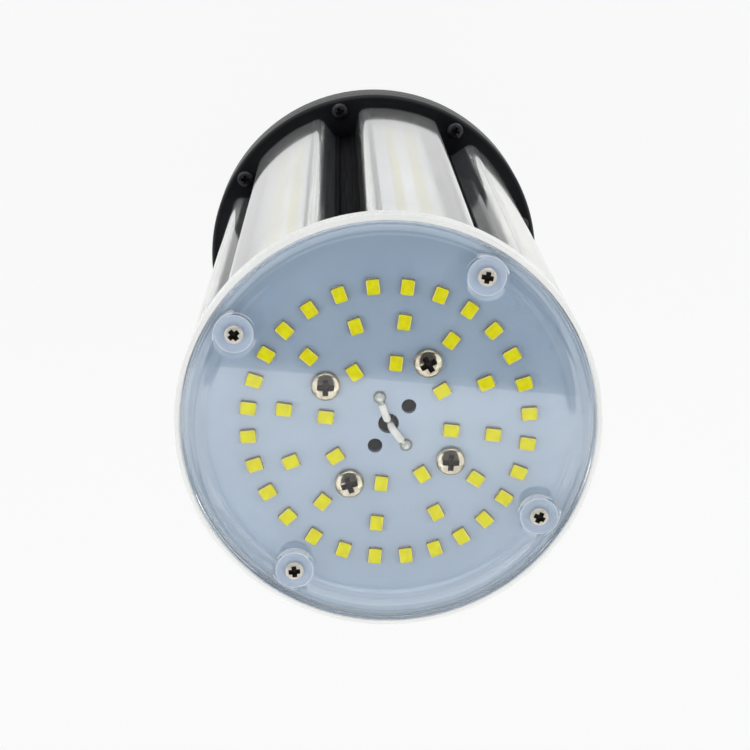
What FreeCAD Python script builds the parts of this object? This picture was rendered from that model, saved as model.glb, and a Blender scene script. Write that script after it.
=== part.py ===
import FreeCAD, Part
import math
import os
import Sketcher

# Corn LED bulb: eight covered strips of chips round an extruded core, a round chip board at the free end,
# a finned driver housing and a screw cap. The axis is Z, the cap's contact tip is at the origin,
# and the lit face looks along +Z. All sizes are in millimetres.

SIDES = 8            # strips round the core, with a channel between each two
CORE_PORTS = 4       # screw ports along the core, in every second channel
THREAD_TURNS = 4     # crests of the cap thread
FINS = 24            # cooling fins of the driver housing
SECTOR = 360.0 / SIDES

# Angles on the front board, from the first screw port
SPARE_HOLE_ANGLES = (-17.0, 182.0)
SOLDER_ANGLES = (50.0, 250.0)
INNER_CHIP_TURN = 25.5      # inner chips, to each side of a screw port

# Rings of chips on the front board: count, first angle, and the slow waves (turns, size, phase)
# that crowd and spread the even steps
OUTER_RING = (28, -52.2, [(1, 1.06, -178.4), (2, 1.37, 145.4), (3, 0.77, -43.4)])
MIDDLE_RING = (12, -35.3, [(1, 3.18, 62.2), (3, 1.91, -113.9)])

SIZES = {
    # screw cap
    "contact_radius": 8.0,
    "contact_tip_radius": 5.5,
    "contact_edge": 1.2,
    "contact_height": 2.5,
    "insulator_nose_step": 2.0,
    "insulator_nose_height": 7.7,
    "insulator_rim_height": 4.0,
    "shell_lip_thick": 0.7,
    "shell_lip_width": 1.5,
    "shell_wall": 0.7,
    "shell_skirt": 7.0,
    "thread_radius": 19.65,
    "thread_depth": 1.9,
    "thread_pitch": 6.35,
    "thread_flat": 2.4,
    "fit_gap": 0.15,
    # insulating neck between cap and housing
    "neck_plug_length": 12.0,
    "neck_collar_step": 2.85,
    "neck_collar_height": 6.0,
    "neck_spigot_length": 6.0,
    "neck_bore_radius": 10.0,
    # driver housing
    "housing_neck_step": 1.5,
    "housing_neck_wall": 5.35,
    "housing_neck_height": 8.0,
    "flare_height": 24.0,
    "barrel_height": 20.0,
    "rim_step": 4.0,
    "rim_height": 8.0,
    "housing_wall": 3.0,
    "driver_seat_width": 3.0,
    "fin_thick": 1.8,
    "fin_root": 1.0,
    "fin_toe": 3.0,
    "fin_shoulder": 12.0,
    "fin_inset": 0.5,
    # rear flange
    "flange_step": 3.5,
    "flange_thick": 5.0,
    "flange_spigot_height": 3.0,
    "flange_spigot_wall": 4.0,
    "flange_screw_inset": 3.5,
    # extruded core
    "core_length": 159.5,
    "pad_apothem": 34.5,
    "core_wall": 3.0,
    "channel_width": 3.4,
    "channel_depth": 1.4,
    "hub_gap": 0.3,
    "hub_wall": 3.0,
    "web_thick": 2.2,
    "port_inset": 19.5,
    "port_radius": 3.2,
    "port_bore_radius": 1.25,
    # strips
    "strip_board_gap": 0.4,
    "strip_board_thick": 1.5,
    "strip_board_margin": 0.5,
    "cover_width": 22.4,
    "cover_wall": 1.0,
    "cover_height": 8.5,
    "cover_crown_rise": 1.6,
    "cover_shoulder": 4.0,
    "cover_groove_depth": 1.2,
    "groove_gap": 0.05,
    "chip_length": 3.5,
    "chip_width": 2.8,
    "chip_height": 0.8,
    "strip_chip_spread": 6.4,
    "strip_chip_pitch": 9.1,
    "strip_chip_start": 6.0,
    # front end
    "ring_overhang": 0.3,
    "ring_ledge_gap": 0.4,
    "ring_ledge_thick": 1.5,
    "ring_lip": 1.15,
    "ring_lip_height": 1.1,
    "lug_radius": 3.7,
    "tab_width": 5.0,
    "tab_depth": 3.0,
    "tab_thick": 2.2,
    "front_board_thick": 1.6,
    "wire_hole_nip": 0.35,
    "spare_hole_radius": 1.5,
    "spare_hole_circle": 5.45,
    "cover_seat_height": 1.4,
    "front_cover_thick": 1.5,
    "cover_rim_width": 2.7,
    "plateau_rise": 1.0,
    "screw_seat_radius": 4.0,
    "cover_screw_inset": 2.9,
    "outer_ring_gap": 3.7,
    "middle_ring_gap": 1.6,
    "inner_ring_inset": 2.2,
    # screws
    "board_screw_head_radius": 3.05,
    "board_screw_head_height": 1.9,
    "board_screw_length": 9.0,
    "cover_screw_head_radius": 1.9,
    "cover_screw_head_height": 0.9,
    "cover_screw_radius": 0.9,
    "cover_screw_length": 4.0,
    "flange_screw_head_radius": 2.3,
    "flange_screw_head_height": 1.6,
    "flange_screw_radius": 1.2,
    "flange_screw_length": 10.0,
    "core_screw_head_radius": 2.9,
    "core_screw_head_height": 1.8,
    "core_screw_length": 13.0,
    "screw_hole_gap": 0.2,
    # driver and leads
    "driver_board_thick": 1.6,
    "driver_board_gap": 0.4,
    "transformer_inset": 21.1,
    "smoothing_cap_inset": 23.1,
    "smoothing_cap_across": 12.0,
    "output_cap_inset": 13.1,
    "output_cap_across": 2.0,
    "choke_inset": 23.1,
    "choke_across": 14.0,
    "film_cap_inset": 13.1,
    "film_cap_across": 4.0,
    "rectifier_inset": 11.6,
    "rectifier_across": 13.0,
    "transistor_inset": 17.1,
    "transistor_across": 20.0,
    "smoothing_cap_radius": 8.0,
    "smoothing_cap_height": 20.0,
    "output_cap_radius": 6.3,
    "output_cap_height": 18.0,
    "choke_radius": 7.5,
    "choke_height": 12.0,
    "core_block_length": 22.0,
    "core_block_width": 16.0,
    "core_block_height": 18.0,
    "winding_height": 12.0,
    "winding_wall": 2.5,
    "film_cap_length": 15.0,
    "film_cap_width": 7.0,
    "film_cap_height": 12.0,
    "rectifier_length": 14.0,
    "rectifier_width": 4.0,
    "rectifier_height": 10.0,
    "transistor_length": 10.0,
    "transistor_width": 4.5,
    "transistor_height": 15.0,
    "lead_radius": 0.75,
    "lead_bend": 1.6,
    "lead_spacing_gap": 0.2,
    "solder_circle": 5.8,
    "solder_radius": 1.35,
    "solder_height": 1.9,
    "input_lead_radius": 0.9,
    "input_lead_bend": 3.0,
    "input_lead_offset": 5.5,
}


class Size:
    """A number together with the sheet formula that gives it."""

    def __init__(self, value, formula):
        self.value = float(value)
        self.formula = formula

    def __add__(self, other):
        other = sized(other)
        return Size(self.value + other.value, f"({self.formula} + {other.formula})")

    def __radd__(self, other):
        return sized(other) + self

    def __sub__(self, other):
        other = sized(other)
        return Size(self.value - other.value, f"({self.formula} - {other.formula})")

    def __rsub__(self, other):
        return sized(other) - self

    def __mul__(self, other):
        other = sized(other)
        return Size(self.value * other.value, f"({self.formula} * {other.formula})")

    def __rmul__(self, other):
        return sized(other) * self

    def __truediv__(self, other):
        other = sized(other)
        return Size(self.value / other.value, f"({self.formula} / {other.formula})")

    def __neg__(self):
        return Size(-self.value, f"(0 - {self.formula})")


def hypotenuse(first, second):
    squares = first * first + second * second
    return Size(math.sqrt(squares.value), f"sqrt({squares.formula})")


def sized(number):
    if isinstance(number, Size):
        return number
    return Size(number, f"({float(number):.9f})")


doc = FreeCAD.newDocument("corn_led_bulb")
sheet = doc.addObject("Spreadsheet::Sheet", "Sizes")
for row, (alias, number) in enumerate(SIZES.items(), start=1):
    sheet.set(f"A{row}", alias)
    sheet.set(f"B{row}", str(number))
    sheet.setAlias(f"B{row}", alias)
doc.recompute()

nodes = []


def size(alias):
    return Size(getattr(sheet, alias), f"Sizes.{alias}")


def bind(feature, path, dimension):
    feature.setExpression(path, sized(dimension).formula)


def new_body(name, turn=0.0):
    body = doc.addObject("PartDesign::Body", name)
    body.Label = name
    body.Placement = FreeCAD.Placement(FreeCAD.Vector(), FreeCAD.Rotation(FreeCAD.Vector(0, 0, 1), turn))
    nodes.append(body)
    return body


def datum(body, role):
    return next(item for item in body.Origin.OriginFeatures if item.Role == role)


def new_sketch(body, name, plane="XY_Plane", level=None):
    sketch = body.newObject("Sketcher::SketchObject", name)
    sketch.AttachmentSupport = [(datum(body, plane), "")]
    sketch.MapMode = "FlatFace"
    if level is not None:
        bind(sketch, "AttachmentOffset.Base.z", level)
    return sketch


def place(sketch, edge, end, x, y):
    for kind, target in (("DistanceX", x), ("DistanceY", y)):
        number = sketch.addConstraint(Sketcher.Constraint(kind, -1, 1, edge, end, sized(target).value))
        bind(sketch, f"Constraints[{number}]", target)


def outline(sketch, points, arcs=None):
    """A closed outline, counter-clockwise. arcs maps an edge's number to the radius it is bent to."""
    arcs = arcs or {}
    first = sketch.GeometryCount
    corners = [FreeCAD.Vector(sized(x).value, sized(y).value, 0) for x, y in points]
    count = len(corners)
    for i in range(count):
        start, end = corners[i], corners[(i + 1) % count]
        if i in arcs:
            half = (end - start).Length / 2
            radius = sized(arcs[i]).value
            across = (end - start).normalize()
            outward = FreeCAD.Vector(across.y, -across.x, 0)
            middle = (start + end) / 2 + outward * (radius - math.sqrt(radius**2 - half**2))
            sketch.addGeometry(Part.Arc(start, middle, end), False)
        else:
            sketch.addGeometry(Part.LineSegment(start, end), False)
    for i in range(count):
        sketch.addConstraint(Sketcher.Constraint("Coincident", first + i, 2, first + (i + 1) % count, 1))
    for i, (x, y) in enumerate(points):
        place(sketch, first + i, 1, x, y)
    for i, radius in arcs.items():
        number = sketch.addConstraint(Sketcher.Constraint("Radius", first + i, sized(radius).value))
        bind(sketch, f"Constraints[{number}]", radius)


def circle(sketch, x, y, radius):
    edge = sketch.addGeometry(
        Part.Circle(FreeCAD.Vector(sized(x).value, sized(y).value, 0), FreeCAD.Vector(0, 0, 1),
                    sized(radius).value), False)
    place(sketch, edge, 3, x, y)
    number = sketch.addConstraint(Sketcher.Constraint("Radius", edge, sized(radius).value))
    bind(sketch, f"Constraints[{number}]", radius)


def rectangle(sketch, left, right, low, high):
    outline(sketch, [(left, low), (right, low), (right, high), (left, high)])


def pad(body, sketch, length, middle=False):
    feature = body.newObject("PartDesign::Pad", f"{sketch.Name}_pad")
    feature.Profile = sketch
    feature.Midplane = middle
    bind(feature, "Length", length)
    body.Tip = feature
    return feature


def pocket(body, sketch, depth):
    """Cuts downwards from the sketch."""
    feature = body.newObject("PartDesign::Pocket", f"{sketch.Name}_cut")
    feature.Profile = sketch
    bind(feature, "Length", depth)
    body.Tip = feature
    return feature


def revolve(body, name, points):
    """Turns a profile of (radius, height) points about the bulb's axis."""
    sketch = new_sketch(body, f"{name}_profile", "XZ_Plane")
    outline(sketch, points)
    feature = body.newObject("PartDesign::Revolution", f"{name}_turned")
    feature.Profile = sketch
    feature.ReferenceAxis = (sketch, ["V_Axis"])
    feature.Angle = 360
    body.Tip = feature
    return feature


def round_pattern(body, features, count):
    pattern = body.newObject("PartDesign::PolarPattern", f"{features[0].Name}_round")
    pattern.Originals = features
    pattern.Axis = (datum(body, "Z_Axis"), [""])
    pattern.Angle = 360
    pattern.Occurrences = count
    body.Tip = pattern
    return pattern


def screws(name, count, reach, seat, head_radius, head_height, radius, length, downwards=True):
    """A ring of like screws, heads seated at one level. downwards: the shanks point to the cap."""
    body = new_body(name)
    head = new_sketch(body, f"{name}_head", level=seat if downwards else seat - head_height)
    circle(head, reach, 0, head_radius)
    head_pad = pad(body, head, head_height)
    shank = new_sketch(body, f"{name}_shank", level=seat - length if downwards else seat)
    circle(shank, reach, 0, radius)
    shank_pad = pad(body, shank, length)
    round_pattern(body, [head_pad, shank_pad], count)
    return body


def ring_of_holes(body, name, level, depth, radius, reach, count):
    sketch = new_sketch(body, name, level=level)
    circle(sketch, reach, 0, radius)
    round_pattern(body, [pocket(body, sketch, depth)], count)


def solid_feature(name, shape):
    feature = doc.addObject("Part::Feature", name)
    feature.Label = name
    feature.Shape = shape
    nodes.append(feature)
    return feature


# Levels along the axis, from the contact tip upwards
insulator_foot = size("contact_height")
shell_foot = insulator_foot + size("insulator_nose_height") - size("shell_lip_thick")
insulator_shoulder = shell_foot + size("shell_lip_thick")
thread_foot = insulator_shoulder + size("thread_flat") / 2
thread_top = thread_foot + size("thread_pitch") * (THREAD_TURNS - 1) + size("thread_flat")
shell_top = thread_top + size("shell_skirt")
housing_foot = shell_top + size("neck_collar_height")
flare_foot = housing_foot + size("housing_neck_height")
barrel_foot = flare_foot + size("flare_height")
rim_foot = barrel_foot + size("barrel_height")
housing_top = rim_foot + size("rim_height")
core_foot = housing_top + size("flange_thick")
core_top = core_foot + size("core_length")
front_board_top = core_top + size("front_board_thick")
front_cover_seat = front_board_top + size("cover_seat_height")
front_cover_rim = front_cover_seat + size("front_cover_thick")
face = front_cover_rim + size("plateau_rise")
insulator_top = insulator_shoulder + size("insulator_rim_height")
neck_plug_foot = shell_top - size("neck_plug_length")
driver_top = barrel_foot + size("driver_board_thick")

# Radii that several pieces share
shell_bore = size("thread_radius") - size("thread_depth") - size("shell_wall")
neck_collar = size("thread_radius") + size("neck_collar_step")
housing_neck = neck_collar + size("housing_neck_step")
spigot_bore = housing_neck - size("housing_neck_wall")
cover_half = size("cover_width") / 2
cover_crown = size("pad_apothem") + size("cover_height")
flange_radius = cover_crown + size("flange_step")
flange_screw_circle = flange_radius - size("flange_screw_inset")
barrel_radius = flange_radius - size("rim_step")
barrel_bore = barrel_radius - size("housing_wall")
ring_radius = cover_crown + size("ring_overhang")
ring_bore = ring_radius - size("ring_lip")
front_cover_radius = ring_bore - size("fit_gap")
plateau_radius = front_cover_radius - size("cover_rim_width")
cover_screw_circle = plateau_radius - size("cover_screw_inset")
port_circle = size("pad_apothem") - size("port_inset")
hub_radius = port_circle - size("port_radius") - size("hub_gap")
hub_bore = hub_radius - size("hub_wall")
driver_radius = barrel_bore - size("driver_board_gap")
lead_hole = size("input_lead_radius") + size("fit_gap")
lead_offset = size("lead_radius") + size("lead_spacing_gap") / 2
port_screw = size("port_bore_radius")

# The core's section repeats every sector: a flat seat for a strip, then half a channel on each side.
half_pitch = math.tan(math.radians(SECTOR / 2))
lean = math.cos(math.radians(SECTOR / 2))
pad_edge = size("pad_apothem") * half_pitch - size("channel_width") / (4 * lean)


def centre_contact():
    top = size("contact_height")
    body = new_body("centre_contact")
    revolve(body, "contact", [
        (0, 0), (size("contact_tip_radius"), 0), (size("contact_radius"), size("contact_edge")),
        (size("contact_radius"), top), (0, top)])


def cap_insulator():
    rim = shell_bore - size("fit_gap")
    nose = shell_bore - size("shell_lip_width") - size("fit_gap")
    body = new_body("cap_insulator")
    revolve(body, "insulator", [
        (lead_hole, insulator_foot), (size("contact_radius") + size("insulator_nose_step"), insulator_foot),
        (nose, shell_foot), (nose, insulator_shoulder), (rim, insulator_shoulder),
        (rim, insulator_top), (lead_hole, insulator_top)])


def screw_shell():
    crest = size("thread_radius")
    root = crest - size("thread_depth")
    valley = (size("thread_pitch") - size("thread_flat")) / 2
    lip = shell_bore - size("shell_lip_width")
    points = [(lip, shell_foot), (root, shell_foot), (crest, thread_foot)]
    for turn in range(THREAD_TURNS):
        top = thread_foot + size("thread_pitch") * turn + size("thread_flat")
        points.append((crest, top))
        points.append((root, top + valley))
        if turn < THREAD_TURNS - 1:
            points.append((crest, top + valley * 2))
    points += [(root, shell_top), (shell_bore, shell_top),
               (shell_bore, insulator_shoulder), (lip, insulator_shoulder)]
    body = new_body("screw_shell")
    revolve(body, "shell", points)


def cap_neck():
    bore = size("neck_bore_radius")
    plug = shell_bore - size("fit_gap")
    spigot = spigot_bore - size("fit_gap")
    spigot_top = housing_foot + size("neck_spigot_length")
    body = new_body("cap_neck")
    revolve(body, "neck", [
        (bore, neck_plug_foot), (plug, neck_plug_foot), (plug, shell_top), (neck_collar, shell_top),
        (neck_collar, housing_foot), (spigot, housing_foot), (spigot, spigot_top), (bore, spigot_top)])


def driver_housing():
    seat = barrel_bore - size("driver_seat_width")
    body = new_body("driver_housing")
    revolve(body, "housing", [
        (spigot_bore, housing_foot), (housing_neck, housing_foot), (housing_neck, flare_foot),
        (barrel_radius, barrel_foot), (barrel_radius, rim_foot), (flange_radius, rim_foot),
        (flange_radius, housing_top), (barrel_bore, housing_top), (barrel_bore, barrel_foot),
        (seat, barrel_foot), (spigot_bore, flare_foot)])
    # Each fin stands on the flare, out to just inside the barrel's wall, and dies into the barrel.
    edge = barrel_radius - size("fin_inset")
    fin_top = barrel_foot + size("fin_root")
    fin = new_sketch(body, "fin", "XZ_Plane")
    outline(fin, [
        (housing_neck - size("fin_root"), flare_foot), (housing_neck + size("fin_toe"), flare_foot),
        (edge, flare_foot + size("fin_shoulder")), (edge, fin_top), (edge - size("fin_root"), fin_top)])
    round_pattern(body, [pad(body, fin, size("fin_thick"), middle=True)], FINS)
    ring_of_holes(body, "flange_screw_hole", housing_top,
                  size("flange_screw_length") - size("flange_thick") + size("screw_hole_gap"),
                  size("flange_screw_radius"), flange_screw_circle, SIDES)


def rear_flange():
    spigot = barrel_bore - size("fit_gap")
    hollow = spigot - size("flange_spigot_wall")
    foot = housing_top - size("flange_spigot_height")
    body = new_body("rear_flange")
    revolve(body, "flange", [
        (hub_bore, housing_top), (hollow, housing_top), (hollow, foot), (spigot, foot),
        (spigot, housing_top), (flange_radius, housing_top), (flange_radius, core_foot),
        (hub_bore, core_foot)])
    ring_of_holes(body, "flange_clear_hole", core_foot, size("flange_thick"),
                  size("flange_screw_radius") + size("screw_hole_gap"), flange_screw_circle, SIDES)
    ring_of_holes(body, "core_clear_hole", core_foot, size("flange_thick"),
                  port_screw + size("screw_hole_gap"), port_circle, CORE_PORTS)


def sector_points(across, out):
    """Corners of the strip seats, at across on each side of each seat's middle and out from the axis."""
    points = []
    for k in range(SIDES):
        angle = math.radians(SECTOR * (k + 0.5))
        for side in (-across, across):
            points.append((out * math.cos(angle) - side * math.sin(angle),
                           out * math.sin(angle) + side * math.cos(angle)))
    return points


def core_heat_sink():
    channel_rim = size("pad_apothem") / lean - size("channel_width") * half_pitch / 4
    channel_floor = channel_rim - size("channel_depth")
    inner_corner = (size("pad_apothem") - size("core_wall")) / lean
    length = size("core_length")
    body = new_body("core_heat_sink")
    outside = new_sketch(body, "core_outside", level=core_foot)
    outline(outside, sector_points(pad_edge, size("pad_apothem")))
    pad(body, outside, length)
    inside = new_sketch(body, "core_inside", level=core_top)
    turns = [math.radians(SECTOR * k) for k in range(SIDES)]
    outline(inside, [(inner_corner * math.cos(turn), inner_corner * math.sin(turn)) for turn in turns])
    pocket(body, inside, length)

    # Webs carry the hub on the outer wall, one behind each channel, and four of them carry a screw port.
    web = new_sketch(body, "core_web", level=core_foot)
    rectangle(web, (hub_bore + hub_radius) / 2, (inner_corner + channel_floor) / 2,
              size("web_thick") / -2, size("web_thick") / 2)
    round_pattern(body, [pad(body, web, length)], SIDES)
    hub = new_sketch(body, "core_hub", level=core_foot)
    circle(hub, 0, 0, hub_radius)
    circle(hub, 0, 0, hub_bore)
    pad(body, hub, length)
    port = new_sketch(body, "core_port", level=core_foot)
    circle(port, port_circle, 0, size("port_radius"))
    round_pattern(body, [pad(body, port, length)], CORE_PORTS)
    ring_of_holes(body, "core_port_bore", core_top, length, port_screw, port_circle, CORE_PORTS)

    # The channel between two strips, and the pair of grooves that holds one strip's cover.
    channel = new_sketch(body, "core_channel", level=core_top)
    rectangle(channel, channel_floor, cover_crown, size("channel_width") / -2, size("channel_width") / 2)
    round_pattern(body, [pocket(body, channel, length)], SIDES)
    grooves = new_sketch(body, "core_grooves", level=core_top)
    outer_edge = cover_half + size("groove_gap")
    inner_edge = cover_half - size("cover_wall") - size("groove_gap")
    turn = math.radians(SECTOR / 2)
    for near, far in ((-outer_edge, -inner_edge), (inner_edge, outer_edge)):
        corners = [(size("pad_apothem") - size("cover_groove_depth"), near), (cover_crown, near),
                   (cover_crown, far), (size("pad_apothem") - size("cover_groove_depth"), far)]
        outline(grooves, [(x * math.cos(turn) - y * math.sin(turn), x * math.sin(turn) + y * math.cos(turn))
                          for x, y in corners])
    round_pattern(body, [pocket(body, grooves, length)], SIDES)


def strip_board(index):
    board_foot = core_foot + size("strip_board_margin")
    body = new_body(f"strip_board_{index + 1}", SECTOR * (index + 0.5))
    sketch = new_sketch(body, f"strip_board_{index + 1}_section", level=board_foot)
    half = cover_half - size("cover_wall") - size("strip_board_gap")
    rectangle(sketch, size("pad_apothem"), size("pad_apothem") + size("strip_board_thick"), -half, half)
    pad(body, sketch, size("core_length") - size("ring_ledge_thick") - size("strip_board_margin") * 2)


def strip_chips(index):
    """Two columns of chips, in as many rows as the strip has room for."""
    room = sheet.core_length - 2 * sheet.strip_chip_start - sheet.chip_width
    rows = int(room // sheet.strip_chip_pitch) + 1
    name = f"strip_chips_{index + 1}"
    seat = size("pad_apothem") + size("strip_board_thick")
    body = new_body(name, SECTOR * (index + 0.5))
    sketch = new_sketch(body, f"{name}_row", level=core_foot + size("strip_chip_start"))
    for side in (-1, 1):
        middle = size("strip_chip_spread") / 2 * side
        rectangle(sketch, seat, seat + size("chip_height"),
                  middle - size("chip_length") / 2, middle + size("chip_length") / 2)
    row = pad(body, sketch, size("chip_width"))
    pattern = body.newObject("PartDesign::LinearPattern", f"{name}_rows")
    pattern.Originals = [row]
    pattern.Direction = (datum(body, "Z_Axis"), [""])
    pattern.Mode = "Spacing"
    pattern.Occurrences = rows
    bind(pattern, "Offset", size("strip_chip_pitch"))
    body.Tip = pattern


def cover_section(sketch, inset, foot):
    """The arched section of a strip cover, moved in by inset."""
    half = cover_half - inset
    crown = cover_crown - inset
    rise = size("cover_crown_rise")
    shoulder = crown - rise
    bend = (half * half + rise * rise) / (rise * 2)
    outline(sketch, [(foot, -half), (shoulder, -half), (shoulder, half), (foot, half)], {1: bend})


def shoulder_edges(shape, across, least_out):
    """Names of the long edges where a cover's sides meet its crown."""
    names = []
    for number, edge in enumerate(shape.Edges, start=1):
        low, high = edge.Vertexes[0].Point, edge.Vertexes[-1].Point
        upright = abs(low.x - high.x) < 1e-6 and abs(low.y - high.y) < 1e-6
        if upright and abs(abs(low.y) - across) < 1e-6 and low.x > least_out:
            names.append(f"Edge{number}")
    return names


def strip_cover(index):
    name = f"strip_cover_{index + 1}"
    wall = size("cover_wall")
    foot = size("pad_apothem") - size("cover_groove_depth")
    top = core_top - size("ring_ledge_thick")
    length = size("core_length") - size("ring_ledge_thick")
    body = new_body(name, SECTOR * (index + 0.5))
    outer = new_sketch(body, f"{name}_outer", level=core_foot)
    cover_section(outer, sized(0), foot)
    pad(body, outer, length)
    inner = new_sketch(body, f"{name}_inner", level=top)
    cover_section(inner, wall, foot - wall)
    solid = pocket(body, inner, length)
    doc.recompute()
    for inset, radius, label in ((sheet.cover_wall, size("cover_shoulder") - wall, "inside"),
                                 (0, size("cover_shoulder"), "outside")):
        edges = shoulder_edges(solid.Shape, sheet.cover_width / 2 - inset, sheet.pad_apothem)
        rounding = body.newObject("PartDesign::Fillet", f"{name}_{label}")
        rounding.Base = (solid, edges)
        bind(rounding, "Radius", radius)
        body.Tip = rounding
        doc.recompute()
        solid = rounding


def front_ring():
    ledge = hypotenuse(size("pad_apothem"), pad_edge) + size("ring_ledge_gap")
    ledge_foot = core_top - size("ring_ledge_thick")
    lip_top = front_cover_seat + size("ring_lip_height")
    body = new_body("front_ring")
    revolve(body, "ring", [
        (ledge, ledge_foot), (ring_radius, ledge_foot), (ring_radius, lip_top), (ring_bore, lip_top),
        (ring_bore, core_top), (ledge, core_top)])
    lug = new_sketch(body, "ring_lug", level=core_top)
    circle(lug, cover_screw_circle, 0, size("lug_radius"))
    round_pattern(body, [pad(body, lug, front_cover_seat - core_top)], CORE_PORTS)
    ring_of_holes(body, "ring_lug_hole", front_cover_seat,
                  size("cover_screw_length") - size("front_cover_thick"),
                  size("cover_screw_radius"), cover_screw_circle, CORE_PORTS)
    # A tongue under the ring reaches into each channel.
    tab = new_sketch(body, "ring_tab", level=ledge_foot - size("tab_depth"))
    rectangle(tab, ring_bore - size("tab_thick"), ring_bore, size("tab_width") / -2, size("tab_width") / 2)
    round_pattern(body, [pad(body, tab, size("tab_depth"))], SIDES)


def front_board():
    thick = size("front_board_thick")
    body = new_body("front_board")
    disc = new_sketch(body, "front_disc", level=core_top)
    circle(disc, 0, 0, ring_bore - size("fit_gap"))
    circle(disc, 0, 0, lead_offset + size("lead_bend") - size("wire_hole_nip"))
    pad(body, disc, thick)
    ring_of_holes(body, "lug_clear_hole", front_board_top, thick, size("lug_radius") + size("screw_hole_gap"),
                  cover_screw_circle, CORE_PORTS)
    ring_of_holes(body, "board_screw_hole", front_board_top, thick, port_screw + size("screw_hole_gap"),
                  port_circle, CORE_PORTS)
    spare = new_sketch(body, "spare_holes", level=front_board_top)
    for angle in SPARE_HOLE_ANGLES:
        turn = math.radians(angle)
        circle(spare, size("spare_hole_circle") * math.cos(turn), size("spare_hole_circle") * math.sin(turn),
               size("spare_hole_radius"))
    pocket(body, spare, thick)


def ring_angles(count, start, waves):
    """Angles of one ring of chips: even steps with the drift of its waves."""
    angles = []
    for i in range(count):
        even = 360.0 / count * i
        drift = sum(swing * math.cos(math.radians(turns * even + phase)) for turns, swing, phase in waves)
        angles.append(start + even + drift)
    return angles


def front_chips():
    """Three rings of chips on the front board, each chip's long side along its radius."""
    middle = port_circle + size("board_screw_head_radius") + size("middle_ring_gap") + size("chip_length") / 2
    outer = middle + size("chip_length") + size("outer_ring_gap")
    inner = port_circle - size("inner_ring_inset")
    inner_angles = [360.0 / CORE_PORTS * port + side * INNER_CHIP_TURN
                    for port in range(CORE_PORTS) for side in (-1, 1)]
    rings = [
        (outer, ring_angles(*OUTER_RING)),
        (middle, ring_angles(*MIDDLE_RING)),
        (inner, inner_angles),
    ]
    chips = []
    for reach, angles in rings:
        for angle in angles:
            chip = Part.makeBox(sheet.chip_length, sheet.chip_width, sheet.chip_height,
                                FreeCAD.Vector(reach.value - sheet.chip_length / 2, -sheet.chip_width / 2, 0))
            chip.rotate(FreeCAD.Vector(), FreeCAD.Vector(0, 0, 1), angle)
            chips.append(chip)
    feature = solid_feature("front_chips", Part.makeCompound(chips))
    bind(feature, "Placement.Base.z", front_board_top)


def front_cover():
    ceiling = face - size("front_cover_thick")
    wall = plateau_radius - size("front_cover_thick")
    skirt = cover_screw_circle + size("lug_radius") + size("screw_hole_gap")
    body = new_body("front_cover")
    revolve(body, "cover", [
        (0, ceiling), (wall, ceiling), (wall, front_cover_seat), (skirt, front_cover_seat),
        (skirt, front_board_top), (front_cover_radius, front_board_top),
        (front_cover_radius, front_cover_rim), (plateau_radius, front_cover_rim),
        (plateau_radius, face), (0, face)])
    boss = new_sketch(body, "cover_boss", level=front_cover_seat)
    circle(boss, cover_screw_circle, 0, size("screw_seat_radius") + size("front_cover_thick") / 2)
    boss_pad = pad(body, boss, front_cover_rim - front_cover_seat)
    round_pattern(body, [boss_pad], CORE_PORTS)
    ring_of_holes(body, "cover_screw_seat", face, size("plateau_rise"), size("screw_seat_radius"),
                  cover_screw_circle, CORE_PORTS)
    ring_of_holes(body, "cover_screw_hole", front_cover_rim, size("front_cover_thick"),
                  size("cover_screw_radius") + size("screw_hole_gap"), cover_screw_circle, CORE_PORTS)


def driver_board():
    body = new_body("driver_board")
    disc = new_sketch(body, "driver_disc", level=barrel_foot)
    circle(disc, 0, 0, driver_radius)
    pad(body, disc, size("driver_board_thick"))


def upright_can(name, x, y, radius, height):
    can = doc.addObject("Part::Cylinder", name)
    can.Label = name
    bind(can, "Radius", radius)
    bind(can, "Height", height)
    bind(can, "Placement.Base.x", x)
    bind(can, "Placement.Base.y", y)
    bind(can, "Placement.Base.z", driver_top)
    nodes.append(can)


def upright_block(name, x, y, length, width, height):
    block = doc.addObject("Part::Box", name)
    block.Label = name
    bind(block, "Length", length)
    bind(block, "Width", width)
    bind(block, "Height", height)
    bind(block, "Placement.Base.x", x - length / 2)
    bind(block, "Placement.Base.y", y - width / 2)
    bind(block, "Placement.Base.z", driver_top)
    nodes.append(block)


def transformer():
    """A ferrite block whose waist is wrapped by its winding."""
    middle = driver_radius - size("transformer_inset")
    length = size("core_block_length")
    width = size("core_block_width")
    height = size("core_block_height")
    upright_block("transformer_core", middle, sized(0), length, width, height)
    body = new_body("transformer_winding")
    sketch = new_sketch(body, "winding_section", level=driver_top + (height - size("winding_height")) / 2)
    wall = size("winding_wall")
    rectangle(sketch, middle - length / 2 - wall, middle + length / 2 + wall,
              -width / 2 - wall, width / 2 + wall)
    rectangle(sketch, middle - length / 2, middle + length / 2, -width / 2, width / 2)
    pad(body, sketch, size("winding_height"))


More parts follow.
